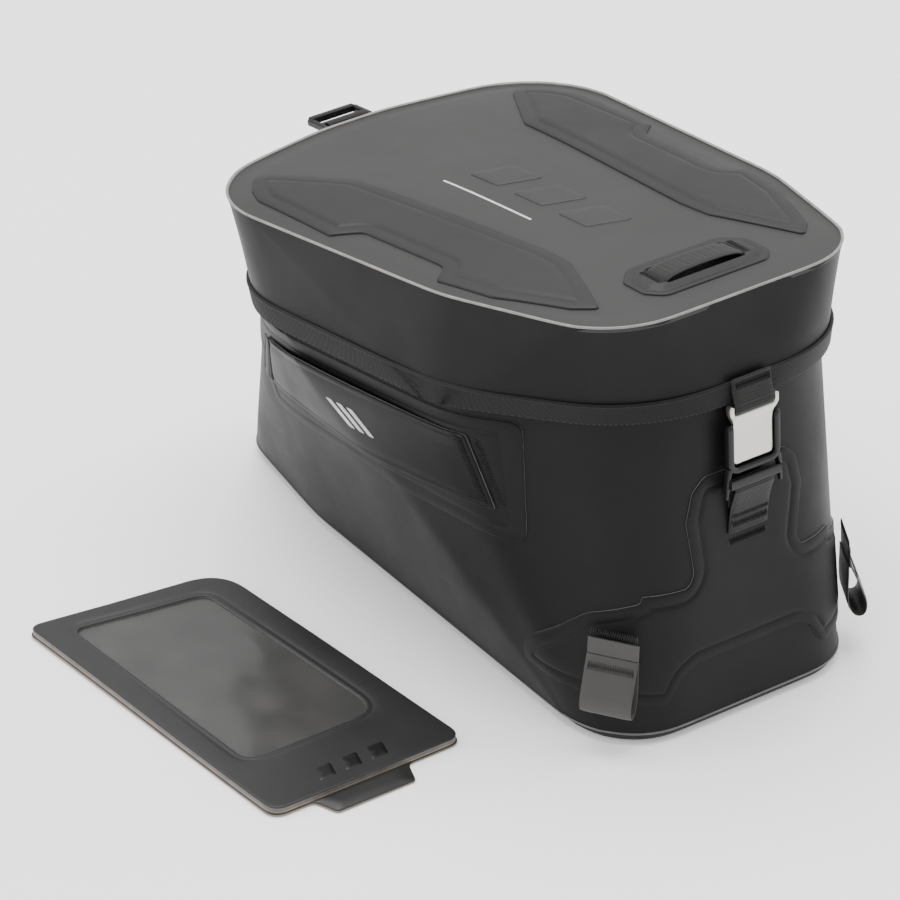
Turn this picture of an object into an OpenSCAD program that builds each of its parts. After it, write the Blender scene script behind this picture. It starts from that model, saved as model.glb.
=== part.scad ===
// Motorcycle tank bag with a hinged box lid, webbing tie-downs and a removable phone pouch.
// +X is the motorcycle's right, +Y is forward (handlebar end), +Z is up.
// The origin is the centre of the base footprint, on the surface that the bag stands on.

/* [Base] */
// Half width of the base at the rider's end
base_half_w = 82; // [74:1:90]
// Distance from the origin to each end of the base
base_end = 188; // [182:1:194]
// Corner radius of the base at the rider's end
base_corner_r = 38; // [32:1:44]
// Thickness of the non-slip base sheet
base_sheet_t = 2.4; // [2:0.2:3]

/* [Walls] */
// Thickness of the foam-backed wall sheet
wall_t = 3; // [2.5:0.25:4]
// Thickness of the reinforcement patches on the walls
patch_t = 1.2; // [1:0.1:1.6]

/* [Lid] */
// Height of the lid plane above the base at the origin
lid_z = 212.5; // [205:0.5:220]
// Slope of the lid plane, which rises towards the rider
lid_tilt = 6.2; // [5.6:0.1:6.8]
// Height of the lid's skirt below its rim
skirt_h = 54.6; // [52:0.2:57]
// Thickness of the lid's sheets
lid_t = 2.2; // [1.8:0.1:2.6]
// Rise of the lid panel's crown above its rim
lid_crown = 5; // [3:0.5:7]
// Visible height of the woven binding tape
binding_h = 10.6; // [9:0.2:12]

/* [Webbing] */
// Width of the tie-down and buckle webbing
webbing_w = 25; // [24:0.5:25.5]
// Thickness of the webbing
webbing_t = 1.6; // [1.4:0.1:1.8]

/* [Carry bands] */
// Length of each side carry band between its outer bartacks
band_len = 188; // [170:2:200]
// Height of each side carry band
band_h = 37; // [32:1:40]
// Slack gap behind the middle of a carry band
band_gap = 2.6; // [2:0.2:4]

/* [Pouch] */
// Width of the phone pouch
pouch_w = 117; // [110:1:124]
// Length of the phone pouch without its tab
pouch_len = 208; // [196:2:220]
// Width of the clear window
window_w = 82; // [74:1:86]
// Length of the clear window
window_len = 150; // [140:2:156]

/* [Hidden] */

// Directions in which each outline is sampled, every five degrees from the rider's end
DIRS = 72;
// Finest parts have this many facets round
ROUND = 32;
// Play between sheets that lie on each other, and between the wall and its long side sheets and lining
layer_gap = 0.3;
side_gap = 0.6;
lining_gap = 0.8;

// Half outlines as circles [x, y, radius]; each outline is the hull of the circles and their mirror images
BASE = [[base_half_w - base_corner_r, base_corner_r - base_end, base_corner_r],
        [18, 80, 46],
        [14, base_end - 34, 34]];
LID = [[44, -126, 46], [32, -58, 76], [58, 78, 58], [14, 64, 80]];
// The skirt's lower edge has softer corners than the rim
LOW = [[18, -99, 75], [46, -58, 70], [42, 54, 75], [14, 64, 80]];
// The collar's upper edge clears the skirt while the lid swings up
COLLAR = [[18, -99, 75], [34, -58, 70], [38, 54, 75], [14, 64, 80]];
lid_front = 144;
low_rear = -174;
lid_mid = -12;

// Seam where the wall meets the mouth collar, just under the skirt
seam_w = -skirt_h - 1.4;
seam_grow = -3.9;
// Mouth collar inside the skirt
collar_top = -9;
collar_top_grow = -7.5;
collar_t = 2.6;

function best(s) = search(max(s), s)[0];
function reach(circles, n) = [for (c = circles) abs(n[0]) * c[0] + n[1] * c[1] + c[2]];
function edge_point(c, n, grow) = [sign(n[0]) * c[0] + (c[2] + grow) * n[0], c[1] + (c[2] + grow) * n[1]];
function direction(i) = let (t = -90 + 360 * i / DIRS) [cos(t), sin(t)];
function outline(circles, grow) =
    [for (i = [0:DIRS - 1]) let (n = direction(i)) edge_point(circles[best(reach(circles, n))], n, grow)];

// A point of the lid's own frame in the bag's frame
function from_lid(p) = [p[0],
                        p[1] * cos(lid_tilt) + p[2] * sin(lid_tilt),
                        lid_z - p[1] * sin(lid_tilt) + p[2] * cos(lid_tilt)];
function lid_ring(grow, w) =
    let (rim = outline(LID, grow), low = outline(LOW, grow), k = max(0, -w / skirt_h))
    [for (i = [0:DIRS - 1]) let (p = rim[i] + (low[i] - rim[i]) * k) [p[0], p[1], w]];
function level_ring(circles, grow, z) = [for (p = outline(circles, grow)) [p[0], p[1], z]];

// Wall surface between the base outline and the seam, at height z or at the seam itself
function seam_ring(grow) = [for (p = level_ring(LOW, seam_grow + grow, seam_w)) from_lid(p)];
function wall_ring(grow, z) =
    let (low = level_ring(BASE, grow, 0), high = seam_ring(grow))
    [for (i = [0:DIRS - 1]) low[i] + (high[i] - low[i]) * (z / high[i][2])];

module on_lid() translate([0, 0, lid_z]) rotate([-lid_tilt, 0, 0]) children();

// A closed band whose section is the given sequence of rings, outside going up
module band_of(rings) {
    m = len(rings);
    points = [for (r = rings) each r];
    faces = [for (k = [0:m - 1], i = [0:DIRS - 1])
             let (a = k * DIRS, b = ((k + 1) % m) * DIRS, j = (i + 1) % DIRS)
             [a + i, b + i, b + j, a + j]];
    polyhedron(points, faces, convexity = 6);
}

// A solid stack of rings from the lowest to the highest
module stack_of(rings) {
    m = len(rings);
    points = [for (r = rings) each r];
    sides = [for (k = [0:m - 2], i = [0:DIRS - 1])
             let (a = k * DIRS, b = (k + 1) * DIRS, j = (i + 1) % DIRS)
             [a + i, b + i, b + j, a + j]];
    polyhedron(points, concat(sides, [[for (i = [0:DIRS - 1]) i]],
                              [[for (i = [DIRS - 1:-1:0]) (m - 1) * DIRS + i]]), convexity = 6);
}

// Skin of the wall between two distances outside its surface, from height z up to the seam
module wall_band(inner, outer, z) {
    band_of([wall_ring(outer, z), seam_ring(outer), seam_ring(inner), wall_ring(inner, z)]);
}
module wall_skin(inner, outer) wall_band(inner, outer, base_sheet_t);

// Lid panel surface: rings drawn in towards the middle while they rise to the crown
CROWN_STEPS = [1, 0.9, 0.72, 0.5, 0.25];
function crown_ring(k, grow, w) =
    [for (p = outline(LID, grow)) [p[0] * k, lid_mid + (p[1] - lid_mid) * k, w + lid_crown * (1 - k * k)]];
module crown_sheet(grow, low, high) {
    stack_of(concat([for (i = [len(CROWN_STEPS) - 1:-1:0]) crown_ring(CROWN_STEPS[i], grow, low)],
                    [for (k = CROWN_STEPS) crown_ring(k, grow, high)]));
}

module rounded(r) offset(r = r, $fn = ROUND) offset(delta = -r) children();
module bar_x(r, len) rotate([0, 90, 0]) cylinder(r = r, h = len, center = true, $fn = ROUND);
// A flat profile drawn as [towards the rider, up], swept along X
module profile_x(len) translate([len / 2, 0, 0]) rotate([90, 0, -90]) linear_extrude(len) children();
// A flat profile drawn as [forward, up], swept along X
module profile_forward(len) translate([-len / 2, 0, 0]) rotate([90, 0, 90]) linear_extrude(len) children();
module both_sides() {
    children();
    mirror([1, 0, 0]) children();
}

// ---- base and walls ----
module base_panel() color([0.13, 0.13, 0.13])
    linear_extrude(base_sheet_t) polygon(outline(BASE, 0.8));

board_t = 3;
// Outline that fits inside the walls up to height z
function floor_outline(z) = [for (p = wall_ring(-wall_t - 1.8, z)) [p[0], p[1]]];
module base_board() color([0.1, 0.1, 0.1])
    translate([0, 0, base_sheet_t]) linear_extrude(board_t) polygon(floor_outline(base_sheet_t + board_t));

lining_t = 1.5;
floor_z = base_sheet_t + board_t;
module floor_lining() color([0.42, 0.43, 0.44])
    translate([0, 0, floor_z]) linear_extrude(lining_t) polygon(floor_outline(floor_z + lining_t));

module body_shell() color([0.17, 0.17, 0.175]) wall_skin(-wall_t, 0);

module wall_lining() color([0.42, 0.43, 0.44])
    wall_band(-wall_t - lining_gap - lining_t, -wall_t - lining_gap, floor_z + lining_t + layer_gap);

module mouth_collar() color([0.15, 0.15, 0.155])
    on_lid() band_of([level_ring(LOW, seam_grow, seam_w), level_ring(COLLAR, collar_top_grow, collar_top),
                      level_ring(COLLAR, collar_top_grow - collar_t, collar_top),
                      level_ring(LOW, seam_grow - collar_t, seam_w)]);

hoop_r = 1.8;
hoop_grow = collar_top_grow - collar_t - hoop_r - 0.2;
module mouth_hoop() color([0.3, 0.3, 0.3])
    on_lid() band_of([for (a = [-30:60:270])
                      level_ring(COLLAR, hoop_grow + hoop_r * cos(a), collar_top - 4 + hoop_r * sin(a))]);

// ---- reinforcement patches ----
// Rear patch, half outline as [x, z] on the rear wall and [y, z] round the corner
PATCH_REAR = [[0, 139], [26, 139], [33, 132], [37, 116], [33, 88], [36, 81], [60, 80.5], [72, 77],
              [72, 22.5], [50, 20], [42, 33], [32, 38], [0, 38]];
PATCH_CORNER = [[-174, 77], [-156, 70], [-144, 60], [-119, 31], [-122, 28.5], [-157, 25.5], [-174, 22.5]];
corner_x = 72;
module rear_patch() color([0.2, 0.2, 0.205])
    intersection() {
        wall_skin(layer_gap, patch_t + layer_gap);
        union() {
            translate([0, -110, 0]) rotate([90, 0, 0]) linear_extrude(100)
                union() {
                    polygon(PATCH_REAR);
                    mirror([1, 0]) polygon(PATCH_REAR);
                }
            both_sides() translate([corner_x - 10, 0, 0]) rotate([90, 0, 90]) linear_extrude(40)
                intersection() {
                    polygon(PATCH_CORNER);
                    translate([-173.4, 0]) square([100, 100]);
                }
        }
    }

// Side patch, drawn in the lid's slope: along, across
patch_rear_v = -112;
patch_front_v = 112;
patch_low_w = -126;
patch_high_w = -60;
module side_patch() {
    intersection() {
        wall_skin(side_gap, patch_t + side_gap);
        on_lid() translate([30, 0, 0]) rotate([90, 0, 90]) linear_extrude(120)
            rounded(11) translate([patch_rear_v, patch_low_w])
                square([patch_front_v - patch_rear_v, patch_high_w - patch_low_w]);
    }
}
module right_side_patch() color([0.16, 0.16, 0.165]) side_patch();
module left_side_patch() color([0.16, 0.16, 0.165]) mirror([1, 0, 0]) side_patch();

// ---- carry bands ----
band_mid_w = -90;
band_mid_v = 3;
band_t = 2;
// Distance of the band's inner face from the wall, along the band from -1 to 1
function band_lift(k) = patch_t + side_gap + band_gap * (1 - k * k) * (1 - k * k);
BAND_STEPS = 16;
// A point beside the wall: v along the lid's slope, w across it, d outside the wall surface
function half_width(v, w) =
    let (ring = seam_ring(0), low = level_ring(BASE, 0, 0),
         p = from_lid([0, v, w]),
         side = [for (i = [DIRS / 8:DIRS / 2 - 2])
                 let (q = low[i] + (ring[i] - low[i]) * (p[2] / ring[i][2])) [q[1], q[0]]])
    lookup(p[1], side);
function beside(v, w, d) = let (p = from_lid([0, v, w])) [half_width(v, w) + d, p[1], p[2]];
module band_strip(from_k, to_k, steps, height, inner, thickness) {
    points = [for (i = [0:steps])
              let (k = from_k + (to_k - from_k) * i / steps, v = band_mid_v + k * band_len / 2,
                   d = band_lift(k) + inner)
              each [beside(v, band_mid_w - height / 2, d),
                    beside(v, band_mid_w - height / 2, d + thickness),
                    beside(v, band_mid_w + height / 2, d + thickness),
                    beside(v, band_mid_w + height / 2, d)]];
    sides = [for (i = [0:steps - 1], e = [0:3]) let (f = (e + 1) % 4)
             [i * 4 + e, i * 4 + f, i * 4 + 4 + f, i * 4 + 4 + e]];
    polyhedron(points, concat(sides, [[3, 2, 1, 0]], [[for (e = [0:3]) steps * 4 + e]]), convexity = 6);
}
band_play = 1.5;
module carry_band() band_strip(-1, 1, BAND_STEPS, band_h, band_play, band_t);
module right_carry_band() color([0.1, 0.1, 0.1]) carry_band();
module left_carry_band() color([0.1, 0.1, 0.1]) mirror([1, 0, 0]) carry_band();

// Two rows of bartack at each end of a band
tack_rise = 0.5;
tack_play = 0.3;
module bartacks() for (row = [-0.985, -0.9, 0.88, 0.965])
    band_strip(row, row + 0.02, 1, band_h - 4, band_play + band_t + tack_play, tack_rise);
module right_bartacks() color([0.05, 0.05, 0.05]) bartacks();
module left_bartacks() color([0.05, 0.05, 0.05]) mirror([1, 0, 0]) bartacks();

// Generic bright badge in the middle of each band: three slanted bars
module band_badge() for (i = [-1:1])
    band_strip(0.05 + i * 0.11, 0.13 + i * 0.11, 1, 11, band_play + band_t + 0.05, 0.5);
module right_band_badge() color([0.72, 0.72, 0.72]) band_badge();
module left_band_badge() color([0.72, 0.72, 0.72]) mirror([1, 0, 0]) band_badge();

// ---- rear buckle, drawn in the plane of the rear wall ----
rear_top = from_lid([0, low_rear - seam_grow, seam_w]);
rear_lean = atan((rear_top[1] + base_end) / rear_top[2]);
module on_rear() translate([0, -base_end, 0]) rotate([-rear_lean, 0, 0]) children();
pin_out = 6.6;
pin_up = 173.6;
frame_bar_out = 5.2;
frame_bar_up = 131;
frame_bar_r = 1.7;
loop_play = 0.4;

module lower_webbing() color([0.09, 0.09, 0.09])
    on_rear() profile_x(webbing_w) difference() {
        union() {
            translate([frame_bar_out, frame_bar_up]) circle(r = frame_bar_r + loop_play + 1.5, $fn = ROUND);
            polygon([[patch_t + 0.5, 104], [4.5, 104], [4.6, 117], [frame_bar_out + 3.4, frame_bar_up],
                     [frame_bar_out - 3.4, frame_bar_up], [patch_t + 0.5, 120]]);
        }
        translate([frame_bar_out, frame_bar_up]) circle(r = frame_bar_r + loop_play, $fn = ROUND);
    }

rail_in = 13;
rail_out = 16.4;
rail_top = 166;
cross_low = 138.6;
cross_high = 142.6;
module buckle_frame() color([0.06, 0.06, 0.065])
    on_rear() {
        translate([0, -frame_bar_out, frame_bar_up]) bar_x(frame_bar_r, 2 * rail_out - 1);
        for (s = [-1, 1])
            translate([s * (rail_in + rail_out) / 2, 0, 0]) profile_x(rail_out - rail_in) rounded(1.2)
                polygon([[4.6, 127.8], [8, 127.8], [9, 140], [9, rail_top - 2], [8, rail_top],
                         [4.4, rail_top], [4.2, 140], [3.4, 133], [3.4, 129.4]]);
        for (s = [-1, 1])
            translate([s * (rail_out + 0.6), 0, 0]) profile_x(1.4) rounded(1.2)
                polygon([[5.2, 127.2], [8, 127.2], [8.8, 137], [3.8, 137], [3.6, 131]]);
        profile_x(2 * rail_in + 0.4) rounded(0.9)
            polygon([[4.4, cross_low], [8.4, cross_low], [8.8, cross_high], [4.4, cross_high]]);
    }

plate_half_w = 12.6;
plate_low = 143.4;
ear_in = webbing_w / 2 + 0.25;
ear_out = 15.4;
module buckle_plate() color([0.72, 0.7, 0.66])
    on_rear() difference() {
        translate([0, -pin_out, 0]) union() {
            rotate([90, 0, 0]) linear_extrude(2, center = true) union() {
                rounded(2) translate([-plate_half_w, plate_low]) square([2 * plate_half_w, 26]);
                rounded(1.6) translate([-ear_out, 166.6]) square([2 * ear_out, 4]);
                for (s = [-1, 1]) translate([s * (ear_in + ear_out) / 2, 170])
                    square([ear_out - ear_in, 7], center = true);
            }
            for (s = [-1, 1]) translate([s * (ear_in + ear_out) / 2, 0, pin_up])
                bar_x(2.5, ear_out - ear_in);
        }
        translate([0, -pin_out, pin_up]) bar_x(1.35, 40);
    }
module buckle_pin() color([0.6, 0.6, 0.58])
    on_rear() translate([0, -pin_out, pin_up]) bar_x(1.3, 2 * ear_out);

// The hook's webbing: a sewn eye round the pin, then a strip that rises to the lid's skirt
eye_r = 3;
module upper_webbing() color([0.09, 0.09, 0.09])
    on_rear() profile_x(webbing_w) difference() {
        polygon(concat([for (a = [150:15:390]) [pin_out + eye_r * cos(a), pin_up + eye_r * sin(a)]],
                       [[4.9 + webbing_t, 188], [4.9, 187.8], [6.2, 177]]));
        translate([pin_out, pin_up]) circle(r = 1.65, $fn = ROUND);
    }

// ---- tie-down loops at the two rear corners ----
corner_turn = -31;
corner_pos = [76.6, -164.2, 0];
loop_w = 27;
loop_pivot_out = 5;
loop_pivot_up = 51;
module on_corner() translate(corner_pos) rotate([0, 0, corner_turn]) children();
module loop_base() intersection() {
    wall_skin(patch_t + 2 * layer_gap, patch_t + 2 * layer_gap + 1.3);
    on_corner() translate([-8, -loop_w / 2, 47]) cube([16, loop_w, 13]);
}
module right_loop_base() color([0.12, 0.12, 0.12]) loop_base();
module left_loop_base() color([0.12, 0.12, 0.12]) mirror([1, 0, 0]) loop_base();

module drop(r_top, r_low) hull() {
    translate([loop_pivot_out, loop_pivot_up]) circle(r = r_top, $fn = ROUND);
    translate([9.8, 28]) circle(r = r_low, $fn = ROUND);
}
module tie_loop() on_corner() rotate([90, 0, 0]) linear_extrude(loop_w, center = true)
    difference() {
        drop(1.8, 6.2);
        translate([0.35, -1]) drop(0.3, 4.6);
    }
module right_tie_loop() color([0.2, 0.2, 0.2]) tie_loop();
module left_tie_loop() color([0.2, 0.2, 0.2]) mirror([1, 0, 0]) tie_loop();

// ---- lid ----
module lid_panel() color([0.36, 0.36, 0.35]) on_lid() crown_sheet(0, -lid_t, 0);
module lid_skirt() color([0.19, 0.19, 0.195])
    on_lid() band_of([lid_ring(0, -skirt_h), lid_ring(0, -lid_t),
                      lid_ring(-lid_t, -lid_t), lid_ring(-lid_t, -skirt_h)]);

lid_board_t = 3;
board_play = 2;
module lid_board() color([0.1, 0.1, 0.1])
    on_lid() crown_sheet(-lid_t - board_play, -lid_t - lid_board_t, -lid_t);
module lid_lining() color([0.42, 0.43, 0.44])
    on_lid() crown_sheet(-lid_t - board_play, -lid_t - lid_board_t - 1, -lid_t - lid_board_t);

// Section of the lip that stands round the lid's rim: outside it, above it
BEAD = [[0.1, -1.3], [0.9, -1], [1.3, -0.1], [0.9, 0.8], [0.1, 1.1]];
module rim_bead() color([0.5, 0.5, 0.49])
    on_lid() band_of([for (p = BEAD) level_ring(LID, p[0], p[1])]);

tape_t = 1.7;
tape_in = 1.45;
tape_play = 1.05;
module skirt_binding() color([0.1, 0.1, 0.1])
    on_lid() band_of([lid_ring(tape_t, -skirt_h - 0.8),
                      lid_ring(tape_t, -skirt_h + binding_h),
                      lid_ring(tape_play, -skirt_h + binding_h),
                      lid_ring(tape_play, -skirt_h - 0.1),
                      lid_ring(-lid_t - tape_play, -skirt_h - 0.1),
                      lid_ring(-lid_t - tape_play, -skirt_h + 7),
                      lid_ring(-lid_t - tape_in, -skirt_h + 7),
                      lid_ring(-lid_t - tape_in, -skirt_h - 0.8)]);

// Abrasion patch on one side of the lid: outer edge with its recess, tip, inner edge, tip
LID_PATCH = [[84, 117], [98, 99], [103.5, 86], [104, 24], [91, 13], [88.5, -50], [100, -58.5], [93, -93],
             [75.5, -133], [65, -143.5], [43.5, -94], [42.5, -74], [46.5, -25], [53, 54], [54, 67]];
lid_patch_t = 1.3;
module on_crown(low, high) intersection() {
    crown_sheet(0, low, high);
    linear_extrude(20) children();
}
module lid_patch() on_lid() on_crown(0.02, lid_patch_t) rounded(4) polygon(LID_PATCH);
module right_lid_patch() color([0.27, 0.27, 0.27]) lid_patch();
module left_lid_patch() color([0.27, 0.27, 0.27]) mirror([1, 0, 0]) lid_patch();

// Raised patch that carries the grab handle, with the window that the handle crosses
handle_v = -129.5;
handle_patch_size = [72, 30];
handle_patch_t = 2.8;
handle_window = [50, 19];
module handle_patch() color([0.22, 0.22, 0.22]) on_lid()
    difference() {
        on_crown(0.02, handle_patch_t) translate([0, handle_v])
            rounded(6) square(handle_patch_size, center = true);
        translate([0, handle_v, 0]) linear_extrude(20) square(handle_window, center = true);
    }

// Grab handle: a shallow bowed strap whose feet stand in the window on the lid panel
handle_w = 16;
handle_t = 1.8;
handle_foot = 3.2;
handle_gap = 3.6;
handle_half = handle_window[0] / 2 - 0.5;
function handle_arc(extra) =
    [for (a = [180:-15:0]) [(handle_half - handle_t + extra) * cos(a), (handle_gap + extra) * sin(a)]];
module grab_handle() color([0.08, 0.08, 0.08]) on_lid()
    translate([0, handle_v, handle_foot]) rotate([90, 0, 0]) linear_extrude(handle_w, center = true)
        difference() {
            polygon(handle_arc(handle_t));
            polygon(handle_arc(0));
        }

// Generic raised mark: three slanted blades and a fine rule beside them
module emblem_outline(length, width) {
    for (i = [0:2]) translate([0, -length / 3 * i])
        polygon([[-width / 2, 0], [width / 2, -length * 0.08], [width / 2, -length * 0.3],
                 [-width / 2, -length * 0.22]]);
}
module lid_emblem() color([0.25, 0.25, 0.25]) on_lid() {
    on_crown(0.02, 0.6) translate([2, 32]) emblem_outline(108, 24);
    on_crown(0.02, 0.4) translate([-24, -38]) square([2, 72]);
}

// ---- front hinge strip, tab and ladder lock ----
hinge_w = -skirt_h - 0.8;
hinge_half = 48;
module hinge_strip() color([0.14, 0.14, 0.14])
    intersection() {
        wall_skin(layer_gap, 1.2 + layer_gap);
        on_lid() translate([-hinge_half, 60, hinge_w - 26]) cube([2 * hinge_half, 160, 24.6]);
    }

tab_w = webbing_w;
lock_v = lid_front + 13;
lock_w = -3;
lock_bar_r = 1.6;
module front_tab() color([0.09, 0.09, 0.09])
    on_lid() profile_forward(tab_w) difference() {
        union() {
            translate([lock_v, lock_w]) circle(r = 3.4, $fn = ROUND);
            polygon([[lid_front + 1.1, -18], [lid_front + 3, -18], [lock_v + 2, lock_w - 2.6],
                     [lock_v - 1, lock_w + 3], [lid_front + 2, lock_w - 2]]);
        }
        translate([lock_v, lock_w]) circle(r = lock_bar_r + loop_play, $fn = ROUND);
    }

lock_half = 16;
lock_len = 15;
module ladder_lock() color([0.06, 0.06, 0.065])
    on_lid() translate([0, lock_v, lock_w]) {
        bar_x(lock_bar_r, 2 * lock_half - 1);
        for (s = [-1, 1]) translate([s * (lock_half - 1.6), lock_len / 2 - 1.2, 0])
            cube([3.2, lock_len + 1, 3.6], center = true);
        translate([0, lock_len - 2, 0.4]) cube([2 * lock_half, 4, 4.4], center = true);
        translate([0, 6.2, -0.6]) cube([2 * lock_half - 4, 2.4, 2.4], center = true);
    }

// ---- phone pouch, lying beside the bag ----
pouch_pos = [-192, -24, 0];
tab_len = 14;
sheet_t = 1.4;
spacer_t = 1.4;
module pouch_outline(inset) {
    w = pouch_w / 2 - inset;
    l = pouch_len / 2 - inset;
    hull() {
        translate([w - 22, l - 22]) circle(r = 22, $fn = 48);
        for (c = [[-w, l, 9], [-w, -l, 9], [w, -l, 9]])
            translate([c[0] - sign(c[0]) * c[2], c[1] - sign(c[1]) * c[2]]) circle(r = c[2], $fn = 48);
    }
}
module pouch_tab() polygon([[-34, 1 - pouch_len / 2], [-30, -pouch_len / 2 - tab_len],
                            [18, -pouch_len / 2 - tab_len], [24, 1 - pouch_len / 2]]);
module window_outline() translate([2, 4]) rounded(9) square([window_w, window_len], center = true);
module pouch_back() color([0.12, 0.12, 0.12]) translate(pouch_pos)
    linear_extrude(sheet_t) union() {
        pouch_outline(0);
        pouch_tab();
    }
module pouch_spacer() color([0.35, 0.27, 0.2]) translate(pouch_pos) translate([0, 0, sheet_t])
    linear_extrude(spacer_t) difference() {
        pouch_outline(0.4);
        pouch_outline(9);
    }
module pouch_front() color([0.13, 0.13, 0.13]) translate(pouch_pos) translate([0, 0, sheet_t + spacer_t])
    linear_extrude(sheet_t) difference() {
        pouch_outline(0.2);
        window_outline();
    }
module pouch_window() color([0.6, 0.6, 0.6]) translate(pouch_pos)
    translate([0, 0, sheet_t + spacer_t + 0.3]) linear_extrude(0.6) window_outline();
module pouch_emblem() color([0.2, 0.2, 0.2]) translate(pouch_pos)
    translate([22, -pouch_len / 2 + 17, 2 * sheet_t + spacer_t]) linear_extrude(0.4)
        rotate(-90) emblem_outline(48, 13);

base_panel();
base_board();
floor_lining();
body_shell();
wall_lining();
mouth_collar();
mouth_hoop();
rear_patch();
left_side_patch();
right_side_patch();
left_carry_band();
right_carry_band();
left_bartacks();
right_bartacks();
left_band_badge();
right_band_badge();
lower_webbing();
hinge_strip();
left_loop_base();
right_loop_base();
buckle_frame();
left_tie_loop();
right_tie_loop();
lid_panel();
lid_skirt();
lid_board();
lid_lining();
rim_bead();
skirt_binding();
left_lid_patch();
right_lid_patch();
handle_patch();
lid_emblem();
upper_webbing();
front_tab();
grab_handle();
buckle_plate();
buckle_pin();
ladder_lock();
pouch_back();
pouch_spacer();
pouch_front();
pouch_window();
pouch_emblem();
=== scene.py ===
import math

import bpy
import numpy as np
from mathutils import Matrix, Vector
from mathutils.geometry import delaunay_2d_cdt


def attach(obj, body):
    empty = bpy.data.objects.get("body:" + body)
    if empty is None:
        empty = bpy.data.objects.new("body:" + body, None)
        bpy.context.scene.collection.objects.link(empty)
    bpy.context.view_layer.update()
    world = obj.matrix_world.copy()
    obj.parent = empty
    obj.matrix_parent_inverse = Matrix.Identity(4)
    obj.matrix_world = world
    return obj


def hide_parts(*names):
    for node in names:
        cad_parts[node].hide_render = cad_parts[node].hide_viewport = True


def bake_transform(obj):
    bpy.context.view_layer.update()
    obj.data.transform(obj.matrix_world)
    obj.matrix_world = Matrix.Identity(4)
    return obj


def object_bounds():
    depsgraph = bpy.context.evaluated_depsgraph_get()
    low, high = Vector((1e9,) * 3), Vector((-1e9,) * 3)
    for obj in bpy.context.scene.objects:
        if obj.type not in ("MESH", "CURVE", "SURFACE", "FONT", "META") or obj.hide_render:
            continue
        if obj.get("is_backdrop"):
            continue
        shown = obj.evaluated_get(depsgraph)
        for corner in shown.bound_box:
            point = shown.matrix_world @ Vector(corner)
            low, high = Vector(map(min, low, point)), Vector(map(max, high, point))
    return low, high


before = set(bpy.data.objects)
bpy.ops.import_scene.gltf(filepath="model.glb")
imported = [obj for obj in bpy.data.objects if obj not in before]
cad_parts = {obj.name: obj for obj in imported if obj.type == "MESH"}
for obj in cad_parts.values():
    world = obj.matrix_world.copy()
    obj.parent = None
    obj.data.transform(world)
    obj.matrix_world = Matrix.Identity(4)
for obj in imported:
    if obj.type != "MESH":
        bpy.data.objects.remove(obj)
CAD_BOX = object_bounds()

# Shapes are worked out in millimetres, and meshes are made in metres.
MM = 0.001

# ---- sizes of the bag, in millimetres ----
# Half outlines as circles [x, y, radius]: the base, the lid's rim, the skirt's lower edge, the collar's top
BASE_CIRCLES = [(44, -150, 38), (18, 80, 46), (14, 154, 34)]
LID_CIRCLES = [(44, -126, 46), (32, -58, 76), (58, 78, 58), (14, 64, 80)]
LOW_CIRCLES = [(18, -99, 75), (46, -58, 70), (42, 54, 75), (14, 64, 80)]
COLLAR_CIRCLES = [(18, -99, 75), (34, -58, 70), (38, 54, 75), (14, 64, 80)]
BASE_END = 188.0
LID_Z = 212.5
TILT = math.radians(6.2)
LID_MID = -12.0
LID_CROWN = 5.0
LID_FRONT = 144.0
LOW_REAR = -174.0
# How far outlines are smoothed, as a share of their half length, in how many steps, and how the weights fade
SOFT_REACH = 0.034
SOFT_STEPS = 13
SOFT_FADE = 1.12
SKIRT_H = 54.6
SEAM_W = -SKIRT_H - 1.4
SEAM_GROW = -3.9
WALL_T = 3.0
PATCH_T = 1.2
TAPE_T = 1.2
WEBBING_W = 25.0


# ---- outlines ----
def half_outline(circles, grow):
    """Right half of the circles' hull, from the rear centre to the front centre, with outward directions."""
    turn = np.radians(np.arange(-90.0, 90.5, 1.0))
    n = np.stack([np.cos(turn), np.sin(turn)], 1)
    c = np.array(circles, float)
    best = c[(n @ c[:, :2].T + c[:, 2]).argmax(1)]
    p = best[:, :2] + (best[:, 2:] + grow) * n
    p = np.vstack([[0, p[0, 1]], p, [0, p[-1, 1]]])
    return p, np.vstack([[0, -1], n, [0, 1]])


def shares(p):
    steps = np.linalg.norm(np.diff(p, axis=0), axis=1)
    along = np.concatenate([[0], np.cumsum(steps)])
    return along / along[-1], along[-1]


def unit(v):
    return v / np.linalg.norm(v, axis=-1, keepdims=True)


def lookup(k, shares_of, table):
    """The table's row at share k, averaged over the near stretch so that no curve starts abruptly."""
    steps = np.linspace(-SOFT_REACH, SOFT_REACH, SOFT_STEPS)
    weights = [1 + math.cos(math.pi * step / (SOFT_REACH * SOFT_FADE)) for step in steps]
    total = 0.0
    for step, weight in zip(steps, weights):
        at = k + step
        mirrored = np.where((at < 0) | (at > 1), -1.0, 1.0)
        at = np.where(at < 0, -at, np.where(at > 1, 2 - at, at))
        row = np.stack([np.interp(at, shares_of, column) for column in table.T], -1)
        row[..., 0] *= mirrored
        total = total + row * weight
    return total / sum(weights)


def from_lid(x, v, w):
    """A point of the lid's own frame, x across, v forward along its slope and w up from it."""
    x, v, w = np.broadcast_arrays(x, v, w)
    return np.stack([x, v * math.cos(TILT) + w * math.sin(TILT),
                     LID_Z - v * math.sin(TILT) + w * math.cos(TILT)], -1)


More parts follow.
